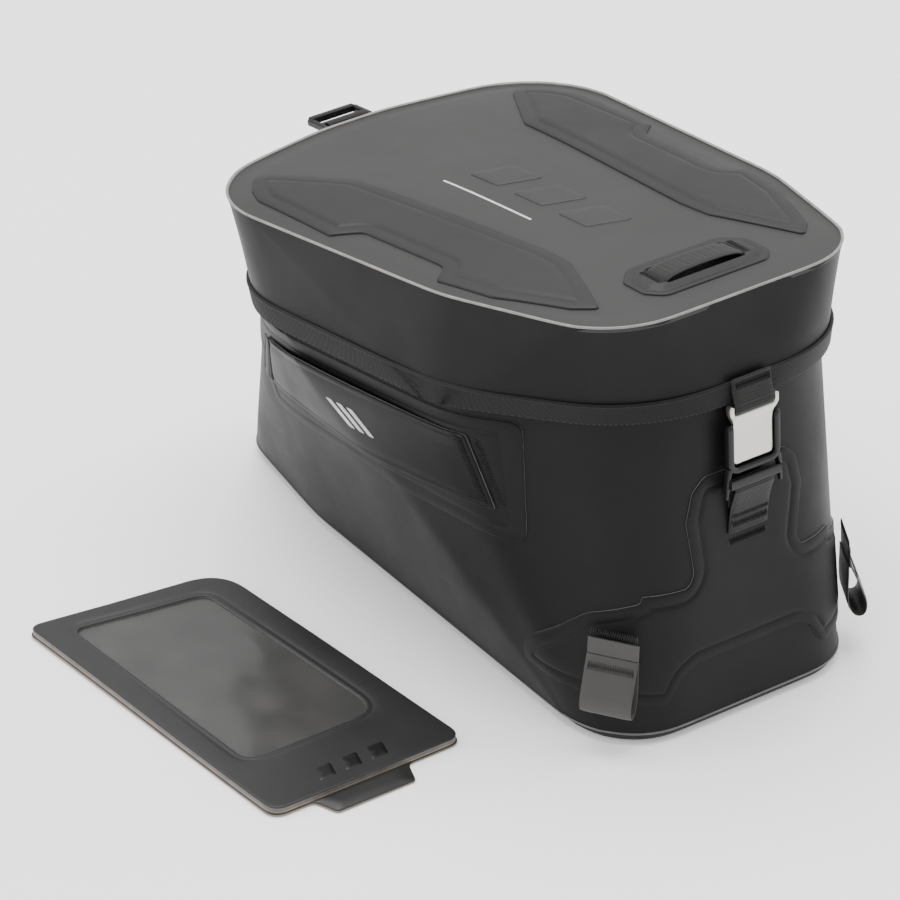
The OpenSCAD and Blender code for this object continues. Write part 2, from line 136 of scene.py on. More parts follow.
BASE_LINE, NORMALS = half_outline(BASE_CIRCLES, 0)
LID_LINE, _ = half_outline(LID_CIRCLES, 0)
LOW_LINE, _ = half_outline(LOW_CIRCLES, 0)
COLLAR_LINE, _ = half_outline(COLLAR_CIRCLES, 0)
_seam, _ = half_outline(LOW_CIRCLES, SEAM_GROW)
SEAM_LINE = from_lid(_seam[:, 0], _seam[:, 1], SEAM_W)
BASE_SHARE, BASE_HALF = shares(BASE_LINE)
SEAM_SHARE, SEAM_HALF = shares(_seam)
WALL_SHARE = (BASE_SHARE + SEAM_SHARE) / 2
WALL_HALF = (BASE_HALF + SEAM_HALF) / 2
LID_SHARE, LID_HALF = shares(LID_LINE)
EDGE_SHARE = (LID_SHARE + shares(LOW_LINE)[0]) / 2


def bump(x, centre, width):
    return np.exp(-((x - centre) / width) ** 2)


def ramp(x, low, high):
    t = np.clip((x - low) / (high - low), 0, 1)
    return t * t * (3 - 2 * t)


def waves(x, y, seed, size):
    """Smooth unevenness from -1 to 1, from a few crossed waves of about the given size."""
    total = 0
    for i in range(5):
        angle = seed * 1.7 + i * 2.399
        length = size * (0.7 + 0.35 * ((seed * 0.37 + i * 0.618) % 1) * 2)
        along = x * math.cos(angle) + y * math.sin(angle)
        total = total + np.sin(along * 2 * math.pi / length + i * 1.9 + seed)
    return total / 3.2


def relief(side, k, z):
    """How far the soft wall stands out of its lofted surface: sag between base and seam, and a few folds."""
    along = k * WALL_HALF
    flank = ramp(along, 110, 190) * (1 - ramp(along, WALL_HALF - 60, WALL_HALF - 15))
    out = -0.9 * flank * bump(z, 92, 46) + 0.45 * flank * waves(along * side, z * 1.3, 3.0, 150)
    fold = (z - 58) + (along - 205) * 0.5
    out = out + 0.8 * bump(fold, 0, 20) * bump(along, 205, 60) - 0.6 * bump(fold, 34, 20) * bump(along, 215, 60)
    corner = bump(along, 86, 22) * bump(z, 16, 9)
    return out - 0.6 * corner + 0.5 * bump(along, 104, 16) * bump(z, 16, 9)


def around(count):
    """Evenly spread values of a, which runs from -1, front centre by the left, to 1 by the right."""
    return np.linspace(-1, 1, count, endpoint=False)


def wall_top(a):
    return lookup(np.abs(a), WALL_SHARE, SEAM_LINE)[..., 2]


def wall(a, z, off=0.0):
    """The wall at height z, off millimetres outside it, at a round the bag."""
    a, z, off = np.broadcast_arrays(np.asarray(a, float), np.asarray(z, float), np.asarray(off, float))
    k, side = np.abs(a), np.where(a < 0, -1.0, 1.0)
    low = lookup(k, WALL_SHARE, np.column_stack([BASE_LINE, np.zeros(len(BASE_LINE))]))
    high = lookup(k, WALL_SHARE, SEAM_LINE)
    n = unit(lookup(k, WALL_SHARE, NORMALS))
    p = low + (high - low) * (z / high[..., 2])[..., None]
    p[..., :2] += (off + relief(side, k, z))[..., None] * n
    p[..., 0] *= side
    return p


def share_at(value, z, axis):
    """The share k along the wall where, at height z, the wall's coordinate on that axis is the value."""
    k = np.linspace(0, 1, 1201)
    low, high = lookup(k, WALL_SHARE, BASE_LINE), lookup(k, WALL_SHARE, SEAM_LINE)
    line = low[:, axis] + (high[:, axis] - low[:, axis]) * z / high[:, 2]
    if axis == 0:
        reach = int(line.argmax())
        return float(np.interp(value, line[:reach], k[:reach]))
    start = int(np.searchsorted(line, line[0] + 0.02))
    return float(np.interp(value, line[start:], k[start:]))


def on_wall(side):
    """Puts flat points [distance along the wall from the rear centre, height] on one side's wall."""
    return lambda p, h: wall(side * p[:, 0] / WALL_HALF, p[:, 1], h)


def ring_point(a, grow, w, rim, low, share):
    """A point between two outlines of the lid, grown by grow, at height w of the lid's own frame."""
    a, grow, w, share = np.broadcast_arrays(*[np.asarray(v, float) for v in (a, grow, w, share)])
    k, side = np.abs(a), np.where(a < 0, -1.0, 1.0)
    n = unit(lookup(k, EDGE_SHARE, NORMALS))
    p = lookup(k, EDGE_SHARE, rim) * (1 - share[..., None]) + lookup(k, EDGE_SHARE, low) * share[..., None]
    p = p + n * grow[..., None]
    return from_lid(p[..., 0] * side, p[..., 1], w)


def lid_edge(a, grow, w):
    """The skirt's surface at height w, grow millimetres outside it."""
    return ring_point(a, grow, w, LID_LINE, LOW_LINE, np.maximum(0, -np.asarray(w, float) / SKIRT_H))


_polar = np.linspace(0, 1, 1500)
_line = lookup(_polar, LID_SHARE, LID_LINE) - [0, LID_MID]
_angle = np.arctan2(_line[:, 1], _line[:, 0])
_radius = np.hypot(_line[:, 0], _line[:, 1])


def lid_top(x, v):
    """Height of the lid panel's crowned surface, which drops a little more steeply beside its rim."""
    angle = np.arctan2(v - LID_MID, np.abs(x))
    reach = np.interp(angle, _angle, _radius)
    k = np.clip(np.hypot(x, v - LID_MID) / reach, 0, 1)
    inside = (1 - k) * reach
    shoulder = 0.9 * ramp(inside, 5, 13)
    return LID_CROWN * (1 - k * k) + shoulder - 0.9 + 0.25 * ramp(inside, 10, 60) * waves(x, v, 1.0, 120)


def on_lid_top(p, h):
    return from_lid(p[:, 0], p[:, 1], lid_top(p[:, 0], p[:, 1]) + h)


_rear_top = from_lid(0, LOW_REAR - SEAM_GROW, SEAM_W)
LEAN = math.atan((_rear_top[1] + BASE_END) / _rear_top[2])


def on_rear(x, out, up):
    """A point out from the rear wall, which leans, and up along it."""
    x, out, up = np.broadcast_arrays(x, out, up)
    return np.stack([x * 1.0, -BASE_END - out * math.cos(LEAN) + up * math.sin(LEAN),
                     out * math.sin(LEAN) + up * math.cos(LEAN)], -1)


CORNER_TURN = math.radians(-31)
CORNER_POS = (76.6, -164.2)


def on_corner(side):
    """Points [out, along, up] of the frame that a tie loop hangs in, at the right or left rear corner."""
    def place(out, along, up):
        out, along, up = np.broadcast_arrays(out, along, up)
        x = CORNER_POS[0] + out * math.cos(CORNER_TURN) - along * math.sin(CORNER_TURN)
        y = CORNER_POS[1] + out * math.sin(CORNER_TURN) + along * math.cos(CORNER_TURN)
        return np.stack([side * x, y, up * 1.0], -1)
    return place


# ---- mesh making ----
def mesh_object(name, points, faces, materials, face_material=None, flat=None, sharp=40):
    """A mesh object from points in millimetres. flat gives each point its place on the unrolled material."""
    me = bpy.data.meshes.new(name)
    me.from_pydata((np.asarray(points) * MM).tolist(), [], [list(map(int, f)) for f in faces])
    for m in materials:
        me.materials.append(m)
    if face_material is not None:
        me.polygons.foreach_set("material_index", np.asarray(face_material, np.int32))
    if flat is not None:
        loops = np.zeros(len(me.loops), np.int32)
        me.loops.foreach_get("vertex_index", loops)
        uv = me.uv_layers.new(name="flat")
        uv.data.foreach_set("uv", (np.asarray(flat, float)[loops] / 10).astype(np.float32).ravel())
    me.polygons.foreach_set("use_smooth", [True] * len(me.polygons))
    me.set_sharp_from_angle(angle=math.radians(sharp))
    me.validate()
    o = bpy.data.objects.new(name, me)
    bpy.context.scene.collection.objects.link(o)
    return o


def finish_piece(o, body, nodes=()):
    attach(o, body)
    if nodes:
        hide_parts(*nodes)
    return o


def face_out(points, faces):
    """The faces, turned over if the closed mesh they make is inside out."""
    p = np.asarray(points)
    total = 0.0
    for f in faces:
        for i in range(1, len(f) - 1):
            total += float(np.dot(p[f[0]], np.cross(p[f[i]], p[f[i + 1]])))
    return faces if total > 0 else [list(f)[::-1] for f in faces]


def grid_faces(rows, columns, wrap_rows, wrap_columns):
    faces = []
    for i in range(rows if wrap_rows else rows - 1):
        for j in range(columns if wrap_columns else columns - 1):
            a, b = i * columns, ((i + 1) % rows) * columns
            k = (j + 1) % columns
            faces.append([a + j, a + k, b + k, b + j])
    return faces


def capped_faces(rows, columns):
    """Faces of a tube of rows, closed at both ends."""
    last = (rows - 1) * columns
    caps = [list(range(columns))[::-1], [last + j for j in range(columns)]]
    return grid_faces(rows, columns, False, True) + caps


def ring_band(name, place, section, count, materials, wave=None, sharp=40):
    """A closed band round the bag: section is a closed list of (outward, height), place gives the points."""
    section = np.asarray(section, float)
    m = len(section)
    along = np.repeat(around(count), m)
    off, up = np.tile(section[:, 0], count), np.tile(section[:, 1], count)
    if wave is not None:
        off = off + wave(along, np.tile(np.arange(m), count), off, up)
    points = place(along, off, up)
    length = np.concatenate([[0], np.cumsum(np.linalg.norm(np.diff(section, axis=0), axis=1))])
    flat = np.stack([along * WALL_HALF, np.tile(length, count)], 1)
    faces = face_out(points, grid_faces(count, m, True, True))
    return mesh_object(name, points, faces, materials, None, flat, sharp)


def shell(name, rings, ups, half, material):
    """A closed wall of cloth from rings round the bag, with each ring's height on the unrolled cloth."""
    count = len(rings[0])
    points = np.vstack(rings)
    flat = np.stack([np.tile(around(count) * half, len(rings)), np.repeat(ups, count)], 1)
    faces = face_out(points, grid_faces(len(rings), count, True, True))
    return mesh_object(name, points, faces, [material], None, flat)


def soften(corners, radii, step=1.0):
    """A closed outline through the corners, each rounded by its radius, with points about step apart."""
    c = np.asarray(corners, float)
    radii = np.broadcast_to(np.asarray(radii, float), len(c))
    out = []
    for i, p in enumerate(c):
        before, after = c[i - 1] - p, c[(i + 1) % len(c)] - p
        lb, la = np.linalg.norm(before), np.linalg.norm(after)
        before, after = before / lb, after / la
        half = math.acos(float(np.clip(before @ after, -1, 1))) / 2
        cut = min(radii[i] / max(math.tan(half), 1e-3), 0.49 * lb, 0.49 * la)
        start, end = p + before * cut, p + after * cut
        for t in np.linspace(0, 1, 9):
            out.append((1 - t) ** 2 * start + 2 * t * (1 - t) * p + t * t * end)
    out = np.array(out)
    keep = np.linalg.norm(out - np.roll(out, 1, axis=0), axis=1) > 1e-4
    out = out[keep]
    ring = np.vstack([out, out[:1]])
    along = np.concatenate([[0], np.cumsum(np.linalg.norm(np.diff(ring, axis=0), axis=1))])
    n = max(8, int(round(along[-1] / step)))
    t = np.linspace(0, along[-1], n, endpoint=False)
    return np.stack([np.interp(t, along, ring[:, i]) for i in (0, 1)], 1)


def edge_distance(points, ring):
    """Distance from each point to the closed outline."""
    a, b = ring, np.roll(ring, -1, axis=0)
    ab = b - a
    best = np.full(len(points), 1e9)
    for s in range(0, len(points), 2000):
        p = points[s:s + 2000, None, :] - a
        t = np.clip((p * ab).sum(2) / (ab * ab).sum(1), 0, 1)
        best[s:s + 2000] = np.linalg.norm(p - t[..., None] * ab, axis=2).min(1)
    return best


def inside(points, ring):
    x, y = points[:, 0], points[:, 1]
    hit = np.zeros(len(points), bool)
    for (x1, y1), (x2, y2) in zip(ring, np.roll(ring, -1, axis=0)):
        crosses = (y1 > y) != (y2 > y)
        if crosses.any():
            hit ^= crosses & (x < (x2 - x1) * (y - y1) / (y2 - y1 + 1e-12) + x1)
    return hit


def rings_beside(edge, depths, room, outward=False):
    """Points at the given depths inside or outside a closed outline, where the room's outline has space."""
    along = np.roll(edge, -1, axis=0) - np.roll(edge, 1, axis=0)
    n = unit(np.stack([-along[:, 1], along[:, 0]], 1))
    if inside(edge[:1] + 0.2 * n[:1], edge)[0] == outward:
        n = -n
    found = []
    for d in depths:
        p = edge + d * n
        found.append(p[(edge_distance(p, edge) > d - 0.06) & inside(p, room)])
    return np.vstack(found)


def patch(name, ring, place, height, materials, step=5.0, depths=(0.35, 0.9), low=-0.4, extra=(), holes=(),
          sharp=50):
    """A piece of sheet with the given outline: height(points, distance from the edge) above its surface."""
    outlines = [ring, *holes]
    near = [rings_beside(ring, depths, ring)] + [rings_beside(hole, depths, ring, True) for hole in holes]
    low_x, low_y = ring.min(0)
    high_x, high_y = ring.max(0)
    gx, gy = np.meshgrid(np.arange(low_x, high_x, step), np.arange(low_y, high_y, step * 0.87))
    gx = gx + (np.arange(gx.shape[0]) % 2)[:, None] * step / 2
    grid = np.stack([gx.ravel(), gy.ravel()], 1)
    grid = grid[inside(grid, ring) & (edge_distance(grid, ring) > max(depths) + 0.45 * step)]
    for hole in holes:
        grid = grid[~inside(grid, hole) & (edge_distance(grid, hole) > max(depths) + 0.45 * step)]
    edges, start = [], 0
    for r in outlines:
        edges += [(start + i, start + (i + 1) % len(r)) for i in range(len(r))]
        start += len(r)
    given = [Vector(p) for p in np.vstack([*outlines, *near, *extra, grid])]
    verts, _, tris, _, _, _ = delaunay_2d_cdt(given, edges, [], 1, 1e-5)
    flat = np.array([(v.x, v.y) for v in verts])
    tris = np.array([t for t in tris if len(t) == 3], int)
    middle = flat[tris].mean(1)
    keep = inside(middle, ring)
    for hole in holes:
        keep &= ~inside(middle, hole)
    tris = tris[keep]
    used = np.unique(tris)
    index = -np.ones(len(flat), int)
    index[used] = np.arange(len(used))
    flat, tris = flat[used], index[tris]
    a, b, c = flat[tris[:, 0]], flat[tris[:, 1]], flat[tris[:, 2]]
    turned = ((b - a)[:, 0] * (c - a)[:, 1] - (b - a)[:, 1] * (c - a)[:, 0]) < 0
    tris[turned] = tris[turned][:, ::-1]
    distance = np.min([edge_distance(flat, outline) for outline in outlines], 0)
    top = place(flat, height(flat, distance))
    under = place(flat, np.full(len(flat), float(low)) if np.isscalar(low) else low(flat, distance))
    n = len(flat)
    pairs = dict.fromkeys((t[i], t[(i + 1) % 3]) for t in tris for i in range(3))
    rim = [(i, j) for (i, j) in pairs if (j, i) not in pairs]
    faces = [list(t) for t in tris] + [list(t[::-1] + n) for t in tris] + [[j, i, i + n, j + n] for i, j in rim]
    points = np.vstack([top, under])
    index = [0] * (2 * len(tris)) + [min(1, len(materials) - 1)] * len(rim)
    return mesh_object(name, points, face_out(points, faces), materials, index, np.vstack([flat, flat]), sharp)


def tubes(name, lines, radius, sides, materials):
    """Round threads along several lines of points, closed at their ends."""
    points, faces = [], []
    turn = np.arange(sides) * 2 * math.pi / sides
    for line in lines:
        d = unit(np.gradient(line, axis=0))
        across = unit(np.cross(d, [0.31, 0.17, 0.93]))
        other = np.cross(d, across)
        start = len(points)
        for p, r, o in zip(line, across, other):
            points += [p + radius * (math.cos(t) * r + math.sin(t) * o) for t in turn]
        faces += [[start + i for i in f] for f in capped_faces(len(line), sides)]
    return mesh_object(name, points, faces, materials)


def zigzag(start, end, width, pitch):
    """Flat zigzag from start to end, as lockstitch makes it."""
    start, end = np.asarray(start, float), np.asarray(end, float)
    length = np.linalg.norm(end - start)
    d = (end - start) / length
    side = np.array([-d[1], d[0]])
    n = int(length / pitch) * 2
    t = np.linspace(0, length, n + 1)
    swing = np.where(np.arange(n + 1) % 2 == 0, -0.5, 0.5) * width
    return start + t[:, None] * d + swing[:, None] * side


def stitch_row(place, start, end, width, pitch, height):
    flat = zigzag(start, end, width, pitch)
    return place(flat, np.full(len(flat), height))


def sew(name, lines, body, nodes=(), radius=0.26, sides=5):
    return finish_piece(tubes(name, lines, radius, sides, [M["thread"]]), body, nodes)


def spread_line(points, step):
    """The line with points about step apart, and their distances along it."""
    p = np.asarray(points, float)
    along = np.concatenate([[0], np.cumsum(np.linalg.norm(np.diff(p, axis=0), axis=1))])
    t = np.linspace(0, along[-1], max(2, int(round(along[-1] / step)) + 1))
    return np.stack([np.interp(t, along, p[:, i]) for i in range(p.shape[1])], 1), t


def smooth_line(points, rounds=3):
    """The line with its corners cut by halves, ends kept."""
    p = np.asarray(points, float)
    for _ in range(rounds):
        q = 0.75 * p[:-1] + 0.25 * p[1:]
        r = 0.25 * p[:-1] + 0.75 * p[1:]
        inner = np.stack([q, r], 1).reshape(-1, p.shape[1])
        p = np.vstack([p[:1], inner, p[-1:]])
    return p


def strap(name, profile, place, width, thickness, material, rib=1.75, rib_depth=0.16, step=0.3):
    """A woven strap: profile is its centre line [out, up], place(x, out, up) puts it, and it spans x."""
    columns = 13
    line, along = spread_line(profile, step)
    d = unit(np.gradient(line, axis=0))
    n = np.stack([d[:, 1], -d[:, 0]], 1)
    across = np.linspace(-1, 1, columns)
    round_off = np.sqrt(np.clip(1 - np.abs(across) ** 10, 0, 1))
    thick = 0.5 * thickness * (0.35 + 0.65 * round_off)
    ribs = rib_depth * (np.abs(np.sin(np.pi * along / rib)) - 0.6) if rib else np.zeros(len(along))
    points, flat = [], []
    for p, nn, rise, run in zip(line, n, ribs, along):
        for sign, order in ((1, slice(None)), (-1, slice(None, None, -1))):
            x, t = across[order] * (width / 2), thick[order]
            phase = 0 if sign > 0 else 1.5
            weave = 0.05 * np.sin(x * 2 * np.pi / 1.3 + phase) * np.cos(np.pi * run / (rib or 1.9))
            o = sign * (t + rise * round_off[order] + weave * round_off[order])
            points.append(place(x, p[0] + nn[0] * o, p[1] + nn[1] * o))
            flat.append(np.stack([x + (0 if sign > 0 else 60), np.full(len(x), run)], 1))
    points = np.vstack(points)
    faces = face_out(points, capped_faces(len(line), 2 * columns))
    return mesh_object(name, points, faces, [material], None, np.vstack(flat), 60)


def rounded_section(width, depth, r, steps=4):
    """A rectangle with rounded corners, as points round its middle."""
    out = []
    for cx, cy, start in ((1, 1, 0), (-1, 1, 90), (-1, -1, 180), (1, -1, 270)):
        for t in np.radians(np.linspace(start, start + 90, steps + 1)):
            out.append((cx * (width / 2 - r) + r * math.cos(t), cy * (depth / 2 - r) + r * math.sin(t)))
    return np.array(out)


def moulding(name, path, section, place, sizes):
    """A moulded bar: a rounded section swept along a flat path [across, up], thicker or thinner by sizes."""
    line = np.asarray(path, float)
    d = unit(np.gradient(line, axis=0))
    n = np.stack([-d[:, 1], d[:, 0]], 1)
    points = []
    for p, nn, s in zip(line, n, sizes):
        points.append(place(p[0] + nn[0] * section[:, 0] * s, section[:, 1] * s,
                            p[1] + nn[1] * section[:, 0] * s))
    points = np.vstack(points)
    faces = face_out(points, capped_faces(len(line), len(section)))
    return mesh_object(name, points, faces, [M["plastic"]], None, None, 50)


# ---- materials ----
def node(nt, kind, inputs=None, **settings):
    n = nt.nodes.new(kind)
    for key, value in settings.items():
        setattr(n, key, value)
    for key, value in (inputs or {}).items():
        if isinstance(value, bpy.types.NodeSocket):
            nt.links.new(value, n.inputs[key])
        else:
            n.inputs[key].default_value = value
    return n


def blank(name, roughness, **sockets):
    m = bpy.data.materials.new(name)
    m.use_nodes = True
    shader = m.node_tree.nodes["Principled BSDF"]
    shader.inputs["Roughness"].default_value = roughness
    for key, value in sockets.items():
        shader.inputs[key.replace("_", " ")].default_value = value
    return m, m.node_tree, shader


def grey(value, warm=0.0):
    return (value * (1 + warm), value, value * (1 - warm), 1)


def noise(nt, coord, scale, detail, **more):
    inputs = {"Vector": coord, "Scale": scale, "Detail": detail, **more}
    return node(nt, "ShaderNodeTexNoise", inputs).outputs[0]


def mix(nt, factor, dark, light):
    return node(nt, "ShaderNodeMix", {0: factor, 6: dark, 7: light}, data_type="RGBA").outputs[2]


def mottled(nt, coord, dark, light, scale, detail=4.0):
    """Colour that drifts softly between two tones."""
    drift = noise(nt, coord, scale, detail, Roughness=0.6)
    return mix(nt, drift, dark, light), drift


def rough_by(nt, value, smooth, rough):
    """Roughness that follows a noise value."""
    gloss = node(nt, "ShaderNodeMapRange", {"Value": value, 1: 0.3, 2: 0.7, 3: smooth, 4: rough})
    nt.links.new(gloss.outputs[0], nt.nodes["Principled BSDF"].inputs["Roughness"])


def lifted_by(nt, height, strength, distance, **more):
    """Bump that follows a height value."""
    lift = node(nt, "ShaderNodeBump", {"Height": height, "Strength": strength, "Distance": distance, **more})
    nt.links.new(lift.outputs[0], nt.nodes["Principled BSDF"].inputs["Normal"])
    return lift.outputs[0]


def yarns(nt, scale_x, scale_y, distortion, detail, operation):
    """Warp and weft over the unrolled cloth, as one height."""
    flat = node(nt, "ShaderNodeUVMap", uv_map="flat").outputs[0]
    inputs = {"Vector": flat, "Distortion": distortion, "Detail": detail}
    warp, weft = [node(nt, "ShaderNodeTexWave", {**inputs, "Scale": scale}, bands_direction=way).outputs["Fac"]
                  for scale, way in ((scale_x, "X"), (scale_y, "Y"))]
    return node(nt, "ShaderNodeMath", {0: warp, 1: weft}, operation=operation).outputs[0]


def coated(name, tone, roughness, weave=0.05, grain=0.2, warm=0.01, spread=0.14, specular=0.42):
    """Urethane-coated fabric: a fine weave under the coating, soft grain, dust and rubbed patches."""
    m, nt, shader = blank(name, roughness, Specular_IOR_Level=specular)
    coord = node(nt, "ShaderNodeTexCoord").outputs["Object"]
    colour, _ = mottled(nt, coord, grey(tone * (1 - spread), warm), grey(tone * (1 + spread), warm), 26.0)
    speck = node(nt, "ShaderNodeTexVoronoi", {"Vector": coord, "Scale": 210.0, "Randomness": 1.0})
    dots = node(nt, "ShaderNodeMapRange",
                {"Value": speck.outputs["Distance"], 1: 0.0, 2: 0.055, 3: 0.35, 4: 0.0})
    dusty = mix(nt, dots.outputs[0], colour, grey(min(1, tone * 3.2), 0.05))
    nt.links.new(dusty, shader.inputs["Base Color"])
    rough_by(nt, noise(nt, coord, 14.0, 5.0, Roughness=0.65), roughness - 0.07, roughness + 0.08)
    fine = lifted_by(nt, noise(nt, coord, 1500.0, 3.0), grain, 0.0003)
    lifted_by(nt, yarns(nt, 4.2, 4.2, 0.6, 1.0, "MAXIMUM"), weave, 0.0004, Normal=fine)
    return m


def woven(name, tone, roughness, scale, warm=0.02, strength=0.5, contrast=0.45):
    """Bare woven yarn: tone and bump follow warp and weft, with loose fibres."""
    m, nt, shader = blank(name, roughness, Specular_IOR_Level=0.25, Sheen_Weight=0.12, Sheen_Roughness=0.5)
    coord = node(nt, "ShaderNodeTexCoord").outputs["Object"]
    cloth = yarns(nt, scale, scale * 0.8, 1.2, 2.0, "MULTIPLY")
    fuzz = noise(nt, coord, 900.0, 3.0)
    height = node(nt, "ShaderNodeMath", {0: cloth, 1: fuzz}, operation="ADD").outputs[0]
    colour = mix(nt, height, grey(tone * (1 - contrast), warm), grey(tone * (1 + contrast), warm))
    nt.links.new(colour, shader.inputs["Base Color"])
    lifted_by(nt, height, strength, 0.0003)
    return m


def moulded(name, tone, roughness, grain=0.12, specular=0.4):
    """Moulded plastic or rubber with a spark-eroded grain and faint scuffs."""
    m, nt, shader = blank(name, roughness, Specular_IOR_Level=specular)
    coord = node(nt, "ShaderNodeTexCoord").outputs["Object"]
    colour, drift = mottled(nt, coord, grey(tone * 0.85), grey(tone * 1.2), 60.0)
    nt.links.new(colour, shader.inputs["Base Color"])
    rough_by(nt, drift, roughness - 0.06, roughness + 0.1)
    fine = node(nt, "ShaderNodeTexVoronoi", {"Vector": coord, "Scale": 2200.0})
    lifted_by(nt, fine.outputs["Distance"], grain, 0.0002)
    return m


def cut_edge(name, tone, warm=0.04):
    """The cut or welded edge of coated sheet: paler, uneven along its length."""
    m, nt, shader = blank(name, 0.5, Specular_IOR_Level=0.4)
    coord = node(nt, "ShaderNodeTexCoord").outputs["Object"]
    colour, _ = mottled(nt, coord, grey(tone * 0.5, warm), grey(tone * 1.35, warm), 130.0, 6.0)
    nt.links.new(colour, shader.inputs["Base Color"])
    lifted_by(nt, noise(nt, coord, 1400.0, 2.0), 0.5, 0.0003)
    return m


def brushed_metal():
    """Satin nickel plate with fine brushing."""
    m, nt, shader = blank("satin_nickel", 0.34, Metallic=1.0)
    coord = node(nt, "ShaderNodeTexCoord").outputs["Object"]
    stretch = node(nt, "ShaderNodeMapping", {"Vector": coord, "Scale": (60.0, 900.0, 900.0)})
    streak = noise(nt, stretch.outputs[0], 2.0, 4.0)
    nt.links.new(mix(nt, streak, (0.50, 0.48, 0.445, 1), (0.66, 0.635, 0.59, 1)), shader.inputs["Base Color"])
    rough_by(nt, streak, 0.28, 0.44)
    lifted_by(nt, streak, 0.08, 0.0002)
    return m


def film():
    """Clear vinyl with a faint haze, over the pouch's dark back."""
    m, nt, shader = blank("clear_vinyl", 0.16, Specular_IOR_Level=0.9, Alpha=0.5)
    coord = node(nt, "ShaderNodeTexCoord").outputs["Object"]
    colour, drift = mottled(nt, coord, grey(0.05, 0.02), grey(0.11, 0.02), 30.0)
    nt.links.new(colour, shader.inputs["Base Color"])
    rough_by(nt, drift, 0.12, 0.24)
    return m


M = {
    # One coated fabric in two tones: its tone on the lid top is five times its tone on the walls, skirt and
    # collar, which is painted light on the top and painted shade on the sides.
    "wall": coated("coated_wall_fabric_painted_shade", 0.0060, 0.50, specular=0.15),
    "top": coated("coated_top_fabric_painted_light", 0.030, 0.5, weave=0.03, grain=0.12, spread=0.06, warm=0.015,
                  specular=0.25),
    # One embossed patch in two tones: on the lid nearly three times its tone on the walls, which is painted
    # light on the lid's patches and painted shade on the walls' patches.
    "patch_lid": coated("embossed_lid_patch_painted_light", 0.017, 0.52, weave=0.08, spread=0.07, specular=0.25),
    "patch_wall": coated("embossed_wall_patch_painted_shade", 0.0062, 0.5, weave=0.07, spread=0.1, specular=0.15),
    "band": coated("carry_band_fabric", 0.0048, 0.45, weave=0.04, spread=0.1, specular=0.16),
    "tape": coated("loop_tape_fabric", 0.036, 0.5, weave=0.1, warm=0.06, spread=0.1),
    "pouch": coated("pouch_fabric", 0.018, 0.42, weave=0.04, spread=0.1, specular=0.32),
    "lining": woven("lining_cloth", 0.13, 0.8, 3.2, warm=-0.01, contrast=0.2),
    "webbing": woven("ribbed_webbing", 0.006, 0.72, 3.4, warm=0.06),
    "binding": woven("herringbone_binding", 0.0035, 0.75, 3.0, warm=0.04, strength=0.35),
    "thread": woven("sewing_thread", 0.007, 0.6, 6.0),
    "edge": cut_edge("cut_edge_pale", 0.11),
    # Pale welded edge, lightened to twice the cut edges' tone: partly a real pale edge and partly a painted
    # highlight along the lid's rim.
    "weld": cut_edge("weld_edge_painted_highlight", 0.22),
    "core": cut_edge("pouch_core_edge", 0.17, 0.25),
    "badge": cut_edge("reflective_print", 0.55, 0.01),
    "rubber": moulded("base_rubber", 0.012, 0.55, grain=0.4, specular=0.3),
    "plastic": moulded("black_acetal", 0.006, 0.36, specular=0.3),
    "board": moulded("stiff_board", 0.02, 0.6),
    "hoop": moulded("hoop_plastic", 0.06, 0.5),
    "metal": brushed_metal(),
    "film": film(),
}

LEFT, RIGHT = -1, 1
SIDES = ((LEFT, "left"), (RIGHT, "right"))


# ---- base, walls and lining ----
def make_base():
    section = [(-2.6, 2.6), (-2.6, 9.0), (-1.1, 9.0), (-1.1, 6.0), (-1.3, 4.2), (-1.9, 2.6), (-2.9, 1.3),
               (-4.3, 0.4), (-6.2, 0.0), (-16, 0.0), (-16.4, 0.5), (-19, 0.5), (-19.4, 0.0)]
    count = 300
    a = around(count)
    side = np.where(a < 0, -1, 1)
    points = np.vstack([wall(a, z, off - relief(side, np.abs(a), z)) for off, z in section])
    faces = face_out(points, capped_faces(len(section), count))
    o = mesh_object("base_tray", points, faces, [M["rubber"]], None, points[:, :2], 50)
    finish_piece(o, "bag_body", ["base_panel"])
    section = [(-0.9, 5.2), (0.25, 5.3), (0.55, 5.8), (0.35, 6.3), (-0.9, 6.5)]
    weld = ring_band("base_weld", lambda a, off, up: wall(a, up, off), section, 420, [M["edge"]])
    finish_piece(weld, "bag_body")


def make_wall():
    low, outer_rows, inner_rows = 5.9, 58, 20
    a = around(420)
    top = wall_top(a)
    rings = [wall(a, low + (top - low) * t, 0.0) for t in np.linspace(0, 1, outer_rows)]
    rings += [wall(a, low + (top - low) * t, -WALL_T + 0.05) for t in np.linspace(1, 0, inner_rows)]
    ups = np.concatenate([np.linspace(0, 200, outer_rows), np.linspace(200, 0, inner_rows)])
    o = shell("body_wall", rings, ups, WALL_HALF, M["wall"])
    finish_piece(o, "bag_body", ["body_shell"])


